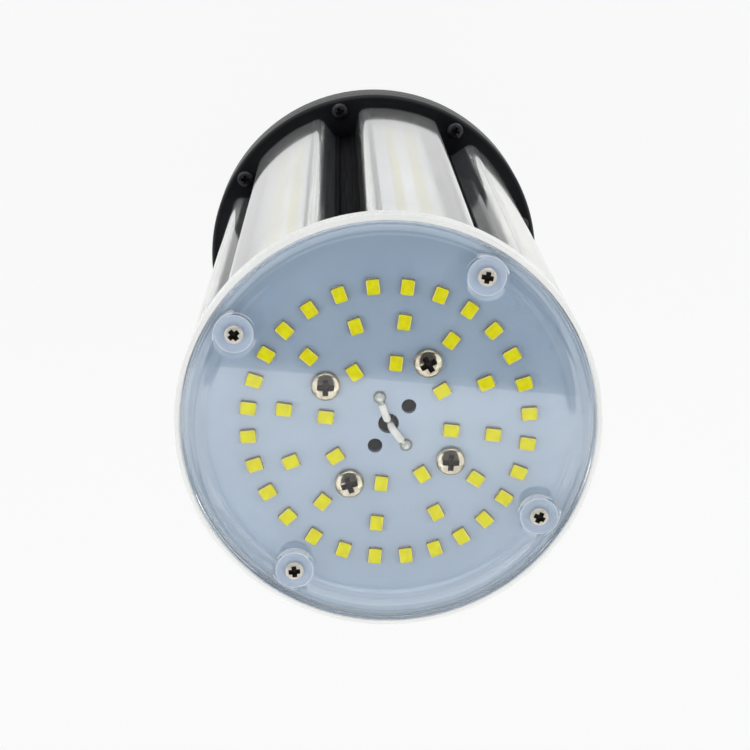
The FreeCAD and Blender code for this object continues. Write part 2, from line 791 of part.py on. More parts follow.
def driver_parts():
    """Each part keeps its distance from the board's edge, and stands across from the board's middle line."""
    transformer()
    cans = (
        ("smoothing_capacitor", "smoothing_cap", size("smoothing_cap_inset") - driver_radius,
         size("smoothing_cap_across")),
        ("output_capacitor", "output_cap", size("output_cap_across"),
         driver_radius - size("output_cap_inset")),
        ("filter_choke", "choke", size("choke_inset") - driver_radius, -size("choke_across")),
    )
    for name, alias, x, y in cans:
        upright_can(name, x, y, size(f"{alias}_radius"), size(f"{alias}_height"))
    blocks = (
        ("film_capacitor", "film_cap", size("film_cap_across"), size("film_cap_inset") - driver_radius),
        ("rectifier_bridge", "rectifier", -size("rectifier_across"), size("rectifier_inset") - driver_radius),
        ("power_transistor", "transistor", driver_radius - size("transistor_inset"),
         size("transistor_across")),
    )
    for name, alias, x, y in blocks:
        upright_block(name, x, y, size(f"{alias}_length"), size(f"{alias}_width"), size(f"{alias}_height"))


def bent_lead(name, start, corner, end, bend, radius):
    """A round lead along two straight runs at right angles, joined by an arc."""
    first = (corner - start).normalize()
    second = (end - corner).normalize()
    arc_start = corner - first * bend
    arc_end = corner + second * bend
    arc_middle = corner + (second - first) * bend * (1 - math.sqrt(0.5))
    path = Part.Wire([
        Part.LineSegment(start, arc_start).toShape(),
        Part.Arc(arc_start, arc_middle, arc_end).toShape(),
        Part.LineSegment(arc_end, end).toShape(),
    ])
    section = Part.Wire([Part.Circle(start, first, radius).toShape()])
    tube = path.makePipeShell([section], True, False)
    length = (arc_start - start).Length + bend * math.pi / 2 + (end - arc_end).Length
    if abs(tube.Volume - math.pi * radius**2 * length) > 0.01 * tube.Volume:
        raise RuntimeError(f"{name} is not a whole tube")
    solid_feature(name, tube)


def leads():
    """Two output leads up the hub to the front board, and two input leads up from the cap."""
    foot = driver_top.value
    level = front_board_top.value + sheet.fit_gap + sheet.lead_radius
    for number, angle in enumerate(SOLDER_ANGLES, 1):
        turn = math.radians(angle)
        out = FreeCAD.Vector(math.cos(turn), math.sin(turn), 0)
        start = out * lead_offset.value + FreeCAD.Vector(0, 0, foot)
        corner = out * lead_offset.value + FreeCAD.Vector(0, 0, level)
        end = out * (sheet.solder_circle - sheet.solder_radius) + FreeCAD.Vector(0, 0, level)
        bent_lead(f"output_lead_{number}", start, corner, end, sheet.lead_bend, sheet.lead_radius)
    joints = new_body("solder_joints")
    dots = new_sketch(joints, "solder_dots", level=front_board_top)
    for angle in SOLDER_ANGLES:
        turn = math.radians(angle)
        circle(dots, size("solder_circle") * math.cos(turn), size("solder_circle") * math.sin(turn),
               size("solder_radius"))
    pad(joints, dots, size("solder_height"))

    centre = new_body("centre_lead")
    wire = new_sketch(centre, "centre_wire", level=insulator_foot)
    circle(wire, 0, 0, size("input_lead_radius"))
    pad(centre, wire, barrel_foot - insulator_foot)
    level = (insulator_top.value + neck_plug_foot.value) / 2
    bent_lead("shell_lead", FreeCAD.Vector(shell_bore.value - sheet.fit_gap, 0, level),
              FreeCAD.Vector(sheet.input_lead_offset, 0, level),
              FreeCAD.Vector(sheet.input_lead_offset, 0, barrel_foot.value),
              sheet.input_lead_bend, sheet.input_lead_radius)


def fasteners():
    screws("flange_screws", SIDES, flange_screw_circle, core_foot, size("flange_screw_head_radius"),
           size("flange_screw_head_height"), size("flange_screw_radius"), size("flange_screw_length"))
    screws("core_screws", CORE_PORTS, port_circle, housing_top, size("core_screw_head_radius"),
           size("core_screw_head_height"), port_screw, size("core_screw_length"), downwards=False)
    screws("board_screws", CORE_PORTS, port_circle, front_board_top, size("board_screw_head_radius"),
           size("board_screw_head_height"), port_screw, size("board_screw_length"))
    screws("cover_screws", CORE_PORTS, cover_screw_circle, front_cover_rim,
           size("cover_screw_head_radius"), size("cover_screw_head_height"), size("cover_screw_radius"),
           size("cover_screw_length"))


def check_and_write():
    doc.recompute()
    failed = [item.Label for item in doc.Objects if {"Invalid", "Error"} & set(item.State)]
    if failed:
        raise RuntimeError(f"failed features: {failed}")
    for node in nodes:
        if node.Shape.isNull() or not node.Shape.isValid() or not node.Shape.Solids:
            raise RuntimeError(f"{node.Label} has no valid solid")
    os.makedirs("parts", exist_ok=True)
    for node in nodes:
        node.Shape.exportStep(f"parts/{node.Label}.step")


centre_contact()
cap_insulator()
screw_shell()
cap_neck()
driver_housing()
driver_board()
driver_parts()
rear_flange()
core_heat_sink()
for side in range(SIDES):
    strip_board(side)
    strip_chips(side)
    strip_cover(side)
front_ring()
front_board()
front_chips()
front_cover()
leads()
fasteners()
check_and_write()
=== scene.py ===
import bmesh
import bpy
import math
from mathutils import Matrix, Vector


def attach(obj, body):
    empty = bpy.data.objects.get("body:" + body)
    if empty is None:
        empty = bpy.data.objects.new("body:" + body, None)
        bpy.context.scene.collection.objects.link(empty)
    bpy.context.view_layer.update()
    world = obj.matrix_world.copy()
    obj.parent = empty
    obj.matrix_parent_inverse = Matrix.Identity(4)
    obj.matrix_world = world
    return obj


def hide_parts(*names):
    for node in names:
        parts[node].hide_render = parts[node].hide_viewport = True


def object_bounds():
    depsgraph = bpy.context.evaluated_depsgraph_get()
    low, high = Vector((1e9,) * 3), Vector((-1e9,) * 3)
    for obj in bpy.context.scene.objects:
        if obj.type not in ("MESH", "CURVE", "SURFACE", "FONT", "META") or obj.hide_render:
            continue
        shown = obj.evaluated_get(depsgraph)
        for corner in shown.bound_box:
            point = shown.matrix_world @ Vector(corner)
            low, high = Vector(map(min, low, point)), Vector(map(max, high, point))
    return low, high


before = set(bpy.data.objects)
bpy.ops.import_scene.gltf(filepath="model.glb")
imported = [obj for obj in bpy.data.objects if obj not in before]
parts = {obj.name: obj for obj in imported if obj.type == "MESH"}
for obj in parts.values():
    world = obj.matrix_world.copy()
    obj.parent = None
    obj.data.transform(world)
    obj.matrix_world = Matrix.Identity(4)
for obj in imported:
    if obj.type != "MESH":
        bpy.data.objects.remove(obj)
cadLow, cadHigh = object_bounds()
scene = bpy.context.scene
mm = 0.001
sideCount = 8
sector = 2 * math.pi / sideCount
quarters = [math.pi / 2 * k for k in range(4)]     # bearings of the cover's screws and of the ring's lugs
print("frame loaded:", len(parts), "nodes")


# colour picked on a screen, 0 to 255, as linear light
def tone(red, green, blue):
    light = []
    for value in (red, green, blue):
        v = value / 255
        light.append(v / 12.92 if v <= 0.04045 else ((v + 0.055) / 1.055) ** 2.4)
    return (*light, 1.0)


def polar(radius, angle, height=0.0):
    return Vector((radius * math.cos(angle), radius * math.sin(angle), height))


# node helpers for the finishes


def addNode(tree, kind, values=None, **settings):
    node = tree.nodes.new(kind)
    for key, value in (values or {}).items():
        node.inputs[key].default_value = value
    for key, value in settings.items():
        setattr(node, key, value)
    return node


def newFinish(name):
    mat = bpy.data.materials.new(name)
    mat.use_nodes = True
    tree = mat.node_tree
    return mat, tree, tree.nodes["Principled BSDF"]


def objectSpace(tree, stretch=(1, 1, 1)):
    coords = addNode(tree, "ShaderNodeTexCoord")
    mapping = addNode(tree, "ShaderNodeMapping", {"Scale": stretch})
    tree.links.new(coords.outputs["Object"], mapping.inputs["Vector"])
    return mapping.outputs["Vector"]


# what the finishes share: detail of grain and waves, edges of the patches, depth of a bump in metres
texture = {"rough": 0.55, "fine": 3.0, "wavy": 2.0, "edges": (0.35, 0.65), "depth": 0.0001}


def noiseOf(tree, space, scale, detail=4.0):
    noise = addNode(tree, "ShaderNodeTexNoise", {
        "Scale": scale, "Detail": detail, "Roughness": texture["rough"]})
    tree.links.new(space, noise.inputs["Vector"])
    return noise.outputs["Fac"]


def rampOf(tree, fac, stops):
    ramp = addNode(tree, "ShaderNodeValToRGB")
    marks = ramp.color_ramp.elements
    while len(marks) < len(stops):
        marks.new(0.5)
    for mark, (place, colour) in zip(marks, stops):
        mark.position = place
        mark.color = colour
    tree.links.new(fac, ramp.inputs["Fac"])
    return ramp.outputs["Color"]


def rangeOf(tree, fac, low, high, fromLow=0.3, fromHigh=0.7):
    node = addNode(tree, "ShaderNodeMapRange", {
        "From Min": fromLow, "From Max": fromHigh, "To Min": low, "To Max": high})
    tree.links.new(fac, node.inputs["Value"])
    return node.outputs["Result"]


def bumpOf(tree, height, strength):
    bump = addNode(tree, "ShaderNodeBump", {"Strength": strength, "Distance": texture["depth"]})
    tree.links.new(height, bump.inputs["Height"])
    return bump.outputs["Normal"]


# the two tones of a finish in soft patches
def patchTones(tree, patches, look):
    low, high = texture["edges"]
    return rampOf(tree, patches, [(low, look["dark"]), (high, look["light"])])


# uneven gloss and a fine bump from one pattern
def roughen(tree, shader, pattern, look):
    tree.links.new(rangeOf(tree, pattern, *look["rough"]), shader.inputs["Roughness"])
    tree.links.new(bumpOf(tree, pattern, look["bump"]), shader.inputs["Normal"])


# the finish shows the first shader where fac is 0 and the second where it is 1
def mixShaders(tree, fac, first, second):
    mix = addNode(tree, "ShaderNodeMixShader")
    tree.links.new(fac, mix.inputs["Fac"])
    tree.links.new(first, mix.inputs[1])
    tree.links.new(second, mix.inputs[2])
    tree.links.new(mix.outputs["Shader"], tree.nodes["Material Output"].inputs["Surface"])


# patches and grain, which most of the finishes share
def surfaceFinish(name, look):
    mat, tree, shader = newFinish(name)
    space = objectSpace(tree, look.get("stretch", (1, 1, 1)))
    patches = noiseOf(tree, space, look["patch"])
    grain = noiseOf(tree, space, look["grain"], texture["fine"])
    tree.links.new(patchTones(tree, patches, look), shader.inputs["Base Color"])
    roughen(tree, shader, grain, look)
    shader.inputs["Metallic"].default_value = look.get("metal", 0.0)
    shader.inputs["Specular IOR Level"].default_value = look.get("specular", 0.5)
    return mat


# clear moulded cover: bends and mirrors what is round it, and lets lamp light through to the boards
def clearFinish(name, look):
    mat, tree, shader = newFinish(name)
    space = objectSpace(tree)
    waves = noiseOf(tree, space, look["waves"], texture["wavy"])
    shader.inputs["Base Color"].default_value = look["colour"]
    shader.inputs["Transmission Weight"].default_value = look["clear"]
    shader.inputs["IOR"].default_value = look["bend"]
    roughen(tree, shader, waves, look)
    rays = addNode(tree, "ShaderNodeLightPath")
    through = addNode(tree, "ShaderNodeBsdfTransparent", {"Color": look["pass"]})
    mixShaders(tree, rays.outputs["Is Shadow Ray"], shader.outputs["BSDF"], through.outputs["BSDF"])
    return mat


# finishes

blackPaint = surfaceFinish("blackPaint", {
    "dark": tone(12, 13, 16), "light": tone(20, 21, 25), "patch": 60.0, "grain": 2600.0,
    "rough": (0.36, 0.5), "bump": 0.12, "specular": 0.25})
blackAnodised = surfaceFinish("blackAnodised", {   # drawn lengthwise, so its grain is stretched along the axis
    "dark": tone(11, 12, 15), "light": tone(18, 19, 23), "patch": 120.0, "grain": 1800.0,
    "stretch": (1, 1, 0.02), "rough": (0.64, 0.8), "bump": 0.15, "specular": 0.02})
ringWhite = surfaceFinish("ringWhite", {
    "dark": tone(238, 239, 237), "light": tone(244, 245, 243), "patch": 70.0, "grain": 3400.0,
    "rough": (0.22, 0.32), "bump": 0.02, "specular": 0.5})
neckWhite = surfaceFinish("neckWhite", {
    "dark": tone(225, 224, 220), "light": tone(234, 233, 229), "patch": 60.0, "grain": 1800.0,
    "rough": (0.4, 0.52), "bump": 0.1, "specular": 0.4})
packageWhite = surfaceFinish("packageWhite", {
    "dark": tone(222, 212, 132), "light": tone(232, 224, 160), "patch": 500.0, "grain": 6000.0,
    "rough": (0.3, 0.42), "bump": 0.05})
packageSideShade = surfaceFinish("packageSideShade", {       # painted shade: the packages' walls are darker and browner than their tops, for the shade on their sides
    "dark": tone(132, 116, 64), "light": tone(154, 138, 86), "patch": 500.0, "grain": 6000.0,
    "rough": (0.4, 0.55), "bump": 0.05})
phosphorYellow = surfaceFinish("phosphorYellow", {
    "dark": tone(219, 210, 0), "light": tone(229, 228, 2), "patch": 700.0, "grain": 9000.0,
    "rough": (0.5, 0.66), "bump": 0.1, "specular": 0.2})
plateNickel = surfaceFinish("plateNickel", {
    "dark": tone(196, 190, 176), "light": tone(222, 217, 205), "patch": 180.0, "grain": 1500.0,
    "rough": (0.2, 0.34), "bump": 0.1, "metal": 1.0})
screwSilver = surfaceFinish("screwSilver", {
    "dark": tone(172, 165, 146), "light": tone(202, 196, 178), "patch": 500.0, "grain": 3000.0,
    "rough": (0.1, 0.18), "bump": 0.08, "metal": 1.0})
screwCream = surfaceFinish("screwCream", {
    "dark": tone(226, 220, 207), "light": tone(240, 236, 226), "patch": 700.0, "grain": 3000.0,
    "rough": (0.34, 0.46), "bump": 0.12, "metal": 0.5})
screwDull = surfaceFinish("screwDull", {
    "dark": tone(66, 67, 70), "light": tone(86, 87, 90), "patch": 500.0, "grain": 3000.0,
    "rough": (0.42, 0.56), "bump": 0.12, "metal": 1.0})
recessShade = surfaceFinish("recessShade", {         # painted shade, brownish, in the bottom of a driver recess
    "dark": tone(22, 17, 11), "light": tone(46, 38, 26), "patch": 900.0, "grain": 4000.0,
    "rough": (0.35, 0.5), "bump": 0.1, "metal": 0.6})
solderBright = surfaceFinish("solderBright", {
    "dark": tone(182, 186, 180), "light": tone(226, 229, 222), "patch": 900.0, "grain": 5000.0,
    "rough": (0.28, 0.44), "bump": 0.15, "metal": 0.7})
padGrey = surfaceFinish("padGrey", {
    "dark": tone(112, 116, 112), "light": tone(146, 149, 142), "patch": 900.0, "grain": 5000.0,
    "rough": (0.35, 0.5), "bump": 0.1, "metal": 0.4})
leadWhite = surfaceFinish("leadWhite", {
    "dark": tone(222, 222, 215), "light": tone(236, 236, 230), "patch": 300.0, "grain": 4000.0,
    "rough": (0.35, 0.5), "bump": 0.08})
firedBlack = surfaceFinish("firedBlack", {
    "dark": tone(26, 25, 26), "light": tone(44, 42, 42), "patch": 200.0, "grain": 2600.0,
    "rough": (0.2, 0.4), "bump": 0.2})
boardGreen = surfaceFinish("boardGreen", {
    "dark": tone(24, 84, 46), "light": tone(36, 106, 60), "patch": 90.0, "grain": 2500.0,
    "rough": (0.3, 0.45), "bump": 0.1})
ferriteGrey = surfaceFinish("ferriteGrey", {
    "dark": tone(46, 46, 48), "light": tone(66, 66, 68), "patch": 400.0, "grain": 3500.0,
    "rough": (0.5, 0.7), "bump": 0.3})
windingTape = surfaceFinish("windingTape", {
    "dark": tone(214, 176, 52), "light": tone(230, 196, 78), "patch": 150.0, "grain": 1500.0,
    "rough": (0.25, 0.4), "bump": 0.1})
canSleeve = surfaceFinish("canSleeve", {
    "dark": tone(30, 34, 44), "light": tone(42, 48, 60), "patch": 200.0, "grain": 2500.0,
    "rough": (0.25, 0.38), "bump": 0.08})
filmDip = surfaceFinish("filmDip", {
    "dark": tone(150, 42, 30), "light": tone(172, 56, 40), "patch": 220.0, "grain": 1800.0,
    "rough": (0.22, 0.36), "bump": 0.15})
deviceBlack = surfaceFinish("deviceBlack", {
    "dark": tone(28, 28, 29), "light": tone(42, 42, 44), "patch": 300.0, "grain": 5000.0,
    "rough": (0.5, 0.66), "bump": 0.2})
clearFront = clearFinish("clearFront", {
    "colour": (1, 1, 1, 1), "pass": (0.95, 0.96, 0.97, 1), "bend": 1.36, "waves": 30.0,
    "rough": (0.0, 0.012), "bump": 0.0004, "clear": 1.0})
bossPale = clearFinish("bossPale", {               # the cover is cloudy where its screws go through, in a pale blue-grey that paints the shaded board seen through it, and passes lamp light so it casts no shadow
    "colour": tone(190, 203, 219), "pass": (0.93, 0.94, 0.95, 1), "bend": 1.3, "waves": 60.0,
    "rough": (0.25, 0.35), "bump": 0.01, "clear": 0.35})
bossWallLit = clearFinish("bossWallLit", {
    "colour": tone(238, 243, 250), "pass": (0.93, 0.94, 0.95, 1), "bend": 1.3, "waves": 60.0,
    "rough": (0.25, 0.35), "bump": 0.01, "clear": 0.2})
coverLegShade = surfaceFinish("coverLegShade", {             # painted shade: the covers' clear legs are dark, for the shade in the channels between covers
    "dark": tone(24, 27, 33), "light": tone(34, 38, 46), "patch": 90.0, "grain": 2400.0,
    "stretch": (1, 1, 0.05), "rough": (0.42, 0.55), "bump": 0.05, "specular": 0.05})
clearStrip = clearFinish("clearStrip", {           # very slightly milky
    "colour": (1, 1, 1, 1), "pass": (0.95, 0.955, 0.96, 1), "bend": 1.49, "waves": 40.0,
    "rough": (0.04, 0.09), "bump": 0.015, "clear": 0.93})


# white lacquer of the strip boards, with the copper lands under it just showing as broad pale steps
def stripMaskFinish(look):
    mat, tree, shader = newFinish("stripMask")
    space = objectSpace(tree)
    patches = noiseOf(tree, space, look["patch"])
    base = patchTones(tree, patches, look)
    bands = addNode(tree, "ShaderNodeTexWave", {"Scale": look["landScale"], "Distortion": 0.0},
                    wave_type="BANDS", bands_direction="Z", wave_profile="SIN")
    tree.links.new(space, bands.inputs["Vector"])
    lands = rangeOf(tree, bands.outputs["Fac"], 0.0, 1.0, *look["landEdges"])
    mix = addNode(tree, "ShaderNodeMix", data_type="RGBA", blend_type="MULTIPLY")
    mix.inputs["Factor"].default_value = look["landShade"]
    tree.links.new(base, mix.inputs["A"])
    tree.links.new(lands, mix.inputs["B"])
    tree.links.new(mix.outputs["Result"], shader.inputs["Base Color"])
    tree.links.new(rangeOf(tree, patches, *look["rough"]), shader.inputs["Roughness"])
    tree.links.new(bumpOf(tree, lands, look["bump"]), shader.inputs["Normal"])
    return mat


# lacquer of the front board, a white board painted blue-grey for its shade and bluish reflection, with painted
# light in the band under the cover's rim where the ring's lip shadows it
def frontMaskFinish(look):
    mat, tree, shader = newFinish("frontMask")
    space = objectSpace(tree)
    patches = noiseOf(tree, space, look["patch"])
    base = patchTones(tree, patches, look)
    axes = addNode(tree, "ShaderNodeSeparateXYZ")
    flat = addNode(tree, "ShaderNodeCombineXYZ")
    reach = addNode(tree, "ShaderNodeVectorMath", operation="LENGTH")
    tree.links.new(space, axes.inputs["Vector"])
    tree.links.new(axes.outputs["X"], flat.inputs["X"])
    tree.links.new(axes.outputs["Y"], flat.inputs["Y"])
    tree.links.new(flat.outputs["Vector"], reach.inputs[0])
    # painted light: the lacquer turns paler towards the band under the rim
    edge = rangeOf(tree, reach.outputs["Value"], 0.0, 1.0, look["rimLightFrom"] * mm, look["rimLightTo"] * mm)
    mix = addNode(tree, "ShaderNodeMix", data_type="RGBA")
    tree.links.new(edge, mix.inputs["Factor"])
    tree.links.new(base, mix.inputs["A"])
    mix.inputs["B"].default_value = look["edge"]
    tree.links.new(mix.outputs["Result"], shader.inputs["Base Color"])
    roughen(tree, shader, noiseOf(tree, space, look["grain"], texture["fine"]), look)
    shader.inputs["Specular IOR Level"].default_value = look["specular"]
    shader.inputs["Coat Weight"].default_value = look["coat"]
    shader.inputs["Coat Roughness"].default_value = look["coatRough"]
    return mat


# painted shade: the blue-grey tones stand for a white board in shade; the edge tone is painted light under the
# rim
frontMask = frontMaskFinish({
    "dark": tone(148, 167, 187), "light": tone(154, 173, 192), "edge": tone(178, 196, 214),
    "rimLightFrom": 39.2, "rimLightTo": 40.8, "patch": 45.0, "grain": 1500.0, "rough": (0.05, 0.1), "bump": 0.004,
    "specular": 1.0, "coat": 1.0, "coatRough": 0.05})
# painted shade: the ring's white lugs get a blue-grey near the board's painted shade
lugPale = surfaceFinish("lugPale", {
    "dark": tone(166, 180, 197), "light": tone(174, 188, 204), "patch": 90.0, "grain": 2000.0,
    "rough": (0.25, 0.4), "bump": 0.02})
stripMask = stripMaskFinish({
    "dark": tone(232, 238, 247), "light": tone(240, 245, 253), "patch": 50.0, "rough": (0.3, 0.42),
    "bump": 0.05, "landScale": 34.5, "landShade": 0.03, "landEdges": (0.46, 0.54)})
print("finishes made:", len(bpy.data.materials))


# mesh helpers, all in millimetres until a piece is made


# closed or open line of (x, y) points with its corners eased by up to reach
def easeCorners(points, reach, steps=4, closed=True):
    eased = []
    count = len(points)
    for i, point in enumerate(points):
        r = reach[i] if isinstance(reach, (list, tuple)) else reach
        if r <= 0 or (not closed and i in (0, count - 1)):
            eased.append(tuple(point))
            continue
        here = Vector(point)
        back = Vector(points[i - 1]) - here
        ahead = Vector(points[(i + 1) % count]) - here
        cut = min(r, back.length * 0.48, ahead.length * 0.48)
        start = here + back.normalized() * cut
        end = here + ahead.normalized() * cut
        for k in range(steps + 1):
            t = k / steps
            spot = start * (1 - t) ** 2 + here * 2 * t * (1 - t) + end * t ** 2
            eased.append((spot.x, spot.y))
    return eased


# turns (radius, height) points about the axis
def spin(profile, count, closed=True):
    verts, faces, rings = [], [], []
    for radius, height in profile:
        first = len(verts)
        if radius < 1e-6:
            verts.append((0.0, 0.0, height))
            rings.append([first] * count)
        else:
            verts.extend(tuple(polar(radius, 2 * math.pi * i / count, height)) for i in range(count))
            rings.append(list(range(first, first + count)))
    pairs = list(zip(rings, rings[1:]))
    if closed:
        pairs.append((rings[-1], rings[0]))
    for low, high in pairs:
        for i in range(count):
            j = (i + 1) % count
            corners = []
            for v in (low[i], low[j], high[j], high[i]):
                if v not in corners:
                    corners.append(v)
            if len(corners) > 2:
                faces.append(corners)
    return verts, faces


# joins closed loops of equal length into a skin, with its two ends closed if asked
def loft(loops, capStart=True, capEnd=True):
    count = len(loops[0])
    verts = [tuple(p) for loop in loops for p in loop]
    faces = []
    for k in range(len(loops) - 1):
        for i in range(count):
            j = (i + 1) % count
            faces.append([k * count + i, k * count + j, (k + 1) * count + j, (k + 1) * count + i])
    if capStart:
        faces.append(list(range(count))[::-1])
    if capEnd:
        faces.append([(len(loops) - 1) * count + i for i in range(count)])
    return verts, faces


def moved(verts, turn):
    return [tuple(turn @ Vector(v)) for v in verts]


# collects several shells, each with the number of its finish, into one mesh
class Shells:
    def __init__(self):
        self.verts, self.faces, self.marks = [], [], []

    def add(self, shape, mark=0):
        verts, faces = shape
        base = len(self.verts)
        self.verts.extend(verts)
        self.faces.extend([[base + v for v in face] for face in faces])
        marks = mark if isinstance(mark, list) else [mark] * len(faces)
        self.marks.extend(marks)


# corner normals that follow the broad faces, so that flats stay flat beside eased edges
def weighNormals(mesh, sharpAngle):
    body = bmesh.new()
    body.from_mesh(mesh)
    limit = math.radians(sharpAngle)
    places, normals = {}, []
    for face in body.faces:
        for corner in face.loops:
            places[corner] = len(normals)
            normals.append(face.normal.copy())
    for vert in body.verts:
        group = {face: {face} for face in vert.link_faces}
        for edge in vert.link_edges:
            if len(edge.link_faces) == 2 and edge.calc_face_angle(0.0) < limit:
                joined = group[edge.link_faces[0]] | group[edge.link_faces[1]]
                for face in joined:
                    group[face] = joined
        for corner in vert.link_loops:
            total = sum((face.normal * face.calc_area() for face in group[corner.face]), Vector())
            if total.length > 0:
                normals[places[corner]] = total.normalized()
    body.free()
    mesh.normals_split_custom_set(normals)


# mesh whose faces all look outwards
def outwardMesh(name, verts, faces):
    mesh = bpy.data.meshes.new(name)
    mesh.from_pydata(verts, [], faces)
    body = bmesh.new()
    body.from_mesh(mesh)
    bmesh.ops.recalc_face_normals(body, faces=body.faces)
    body.to_mesh(mesh)
    body.free()
    return mesh


def makePiece(name, shells, finishes, replaced=(), smoothAngle=32, weigh=False):
    mesh = outwardMesh(name, [[c * mm for c in v] for v in shells.verts], shells.faces)
    mesh.polygons.foreach_set("material_index", shells.marks)
    return dressPiece(name, mesh, finishes, replaced, smoothAngle, weigh)


def dressPiece(name, mesh, finishes, replaced, smoothAngle, weigh):
    for finish in finishes:
        mesh.materials.append(finish)
    mesh.shade_smooth()
    mesh.set_sharp_from_angle(angle=math.radians(smoothAngle))
    if weigh:
        weighNormals(mesh, smoothAngle)
    piece = bpy.data.objects.new(name, mesh)
    scene.collection.objects.link(piece)
    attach(piece, "root")
    if replaced:
        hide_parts(*replaced)
    return piece


# piece turned about the axis from a line of (radius, height) points
def turnedPiece(name, look, finish, node, weigh=False):
    line = easeCorners(look["line"], look["ease"], look["easeSteps"])
    shell = Shells()
    shell.add(spin(line, look["sides"], look["closed"]))
    return makePiece(name, shell, [finish], [node], look["smooth"], weigh)


# a solid's own form with its sharp edges eased
def easedCopy(name, node, look, finish):
    body = bmesh.new()
    body.from_mesh(parts[node].data)
    bmesh.ops.remove_doubles(body, verts=body.verts, dist=look["weld"])
    bmesh.ops.dissolve_limit(body, angle_limit=math.radians(look["flat"]), verts=body.verts, edges=body.edges)
    sharp = math.radians(look["sharp"])
    edges = [e for e in body.edges if len(e.link_faces) == 2 and e.calc_face_angle(0.0) > sharp]
    bmesh.ops.bevel(body, geom=edges, offset=look["ease"] * mm, offset_type="OFFSET",
                    segments=look["easeSteps"], profile=0.5, affect="EDGES", clamp_overlap=True)
    mesh = bpy.data.meshes.new(name)
    body.to_mesh(mesh)
    body.free()
    mesh.materials.clear()
    mesh.polygons.foreach_set("material_index", [0] * len(mesh.polygons))
    return dressPiece(name, mesh, [finish], (node,), look["smooth"], True)


# a node that keeps its own form
def dress(node, finish):
    parts[node].data.materials.clear()
    parts[node].data.materials.append(finish)


# cuts one shape out of another and gives back vertices and faces
def cutOut(shape, tool):
    holders = []
    for label, (verts, faces) in (("blank", shape), ("tool", tool)):
        holder = bpy.data.objects.new(label, outwardMesh(label, verts, faces))
        scene.collection.objects.link(holder)
        holders.append(holder)
    cut = holders[0].modifiers.new("cut", "BOOLEAN")
    cut.object = holders[1]
    cut.operation = "DIFFERENCE"
    cut.solver = "EXACT"
    graph = bpy.context.evaluated_depsgraph_get()
    done = bpy.data.meshes.new_from_object(holders[0].evaluated_get(graph))
    verts = [tuple(v.co) for v in done.vertices]
    faces = [list(p.vertices) for p in done.polygons]
    for holder in holders:
        bpy.data.objects.remove(holder)
    bpy.data.meshes.remove(done)
    return verts, faces


# camera: above the lit face, with the body running away up the picture

view = {
    "place": (88.30, 66.72, 630.35),
    "right": (0.53214909, -0.84644101, 0.01884046),
    "up": (0.81803679, 0.5083006, -0.26915852),
    "back": (0.21825019, 0.15864465, 0.96291159),
    "lens": 88.66, "sensor": 36.0, "nearest": 0.01}
cameraData = bpy.data.cameras.new("camera")
cameraData.lens = view["lens"]
cameraData.sensor_width = view["sensor"]
cameraData.clip_start = view["nearest"]
camera = bpy.data.objects.new("camera", cameraData)
scene.collection.objects.link(camera)
turn = Matrix((view["right"], view["up"], view["back"])).transposed().to_4x4()
camera.matrix_world = Matrix.Translation(Vector(view["place"]) * mm) @ turn
scene.camera = camera
scene.view_settings.view_transform = "Standard"
print("camera placed")


# screw cap and neck

cap = {
    "root": 17.75, "crest": 19.65, "foot": 9.5, "top": 39.85, "pitch": 6.35, "firstCrest": 12.6,
    "threadEnd": 34.6, "runIn": 2.2, "runOut": 3.0, "sides": 96, "rows": 112, "smooth": 60,
    "inside": [(17.4, 39.85), (17.05, 39.6), (17.05, 10.2), (15.7, 10.2), (15.55, 10.05), (15.55, 9.5)]}


# rolled round thread, right-handed, running out at both ends
def capThread():
    sides = cap["sides"]
    bearings = [2 * math.pi * i / sides for i in range(sides)]
    loops = []
    for k in range(cap["rows"] + 1):
        z = cap["foot"] + (cap["top"] - cap["foot"]) * k / cap["rows"]
        start = min(max((z - cap["foot"]) / cap["runIn"], 0.0), 1.0)
        end = min(max((cap["threadEnd"] - z) / cap["runOut"], 0.0), 1.0)
        fade = start * start * (3 - 2 * start) * end * end * (3 - 2 * end)
        loop = []
        for angle in bearings:
            wave = math.cos(2 * math.pi * ((z - cap["firstCrest"]) / cap["pitch"]) - angle)
            swell = 0.5 + 0.5 * math.sin(math.pi / 2 * wave)
            loop.append(polar(cap["root"] + (cap["crest"] - cap["root"]) * swell * fade, angle, z))
        loops.append(loop)
    loops += [[polar(radius, angle, z) for angle in bearings] for radius, z in cap["inside"]]
    verts, faces = loft(loops, False, False)
    last = (len(loops) - 1) * sides
    for i in range(sides):
        j = (i + 1) % sides
        faces.append([last + i, last + j, j, i])
    return verts, faces


shell = Shells()
shell.add(capThread())
makePiece("capShell", shell, [plateNickel], ["screw_shell"], cap["smooth"])

contact = {
    "line": [(0, 0.0), (2.6, 0.0), (4.6, 0.1), (6.2, 0.5), (7.3, 1.05), (7.85, 1.6), (8.0, 2.1),
             (8.0, 2.5), (0, 2.5)],
    "closed": False, "ease": 0, "easeSteps": 1, "sides": 64, "smooth": 60}
turnedPiece("capContact", contact, solderBright, "centre_contact")

insulator = {
    "line": [(1.05, 2.5), (10.0, 2.5), (11.2, 3.9), (11.0, 4.6), (12.7, 6.2), (12.5, 6.9), (15.4, 9.5),
             (15.4, 10.2), (16.9, 10.2), (16.9, 14.2), (1.05, 14.2)],
    "closed": True, "ease": 0.35, "easeSteps": 3, "sides": 64, "smooth": 50}
turnedPiece("capInsulator", insulator, firedBlack, "cap_insulator")

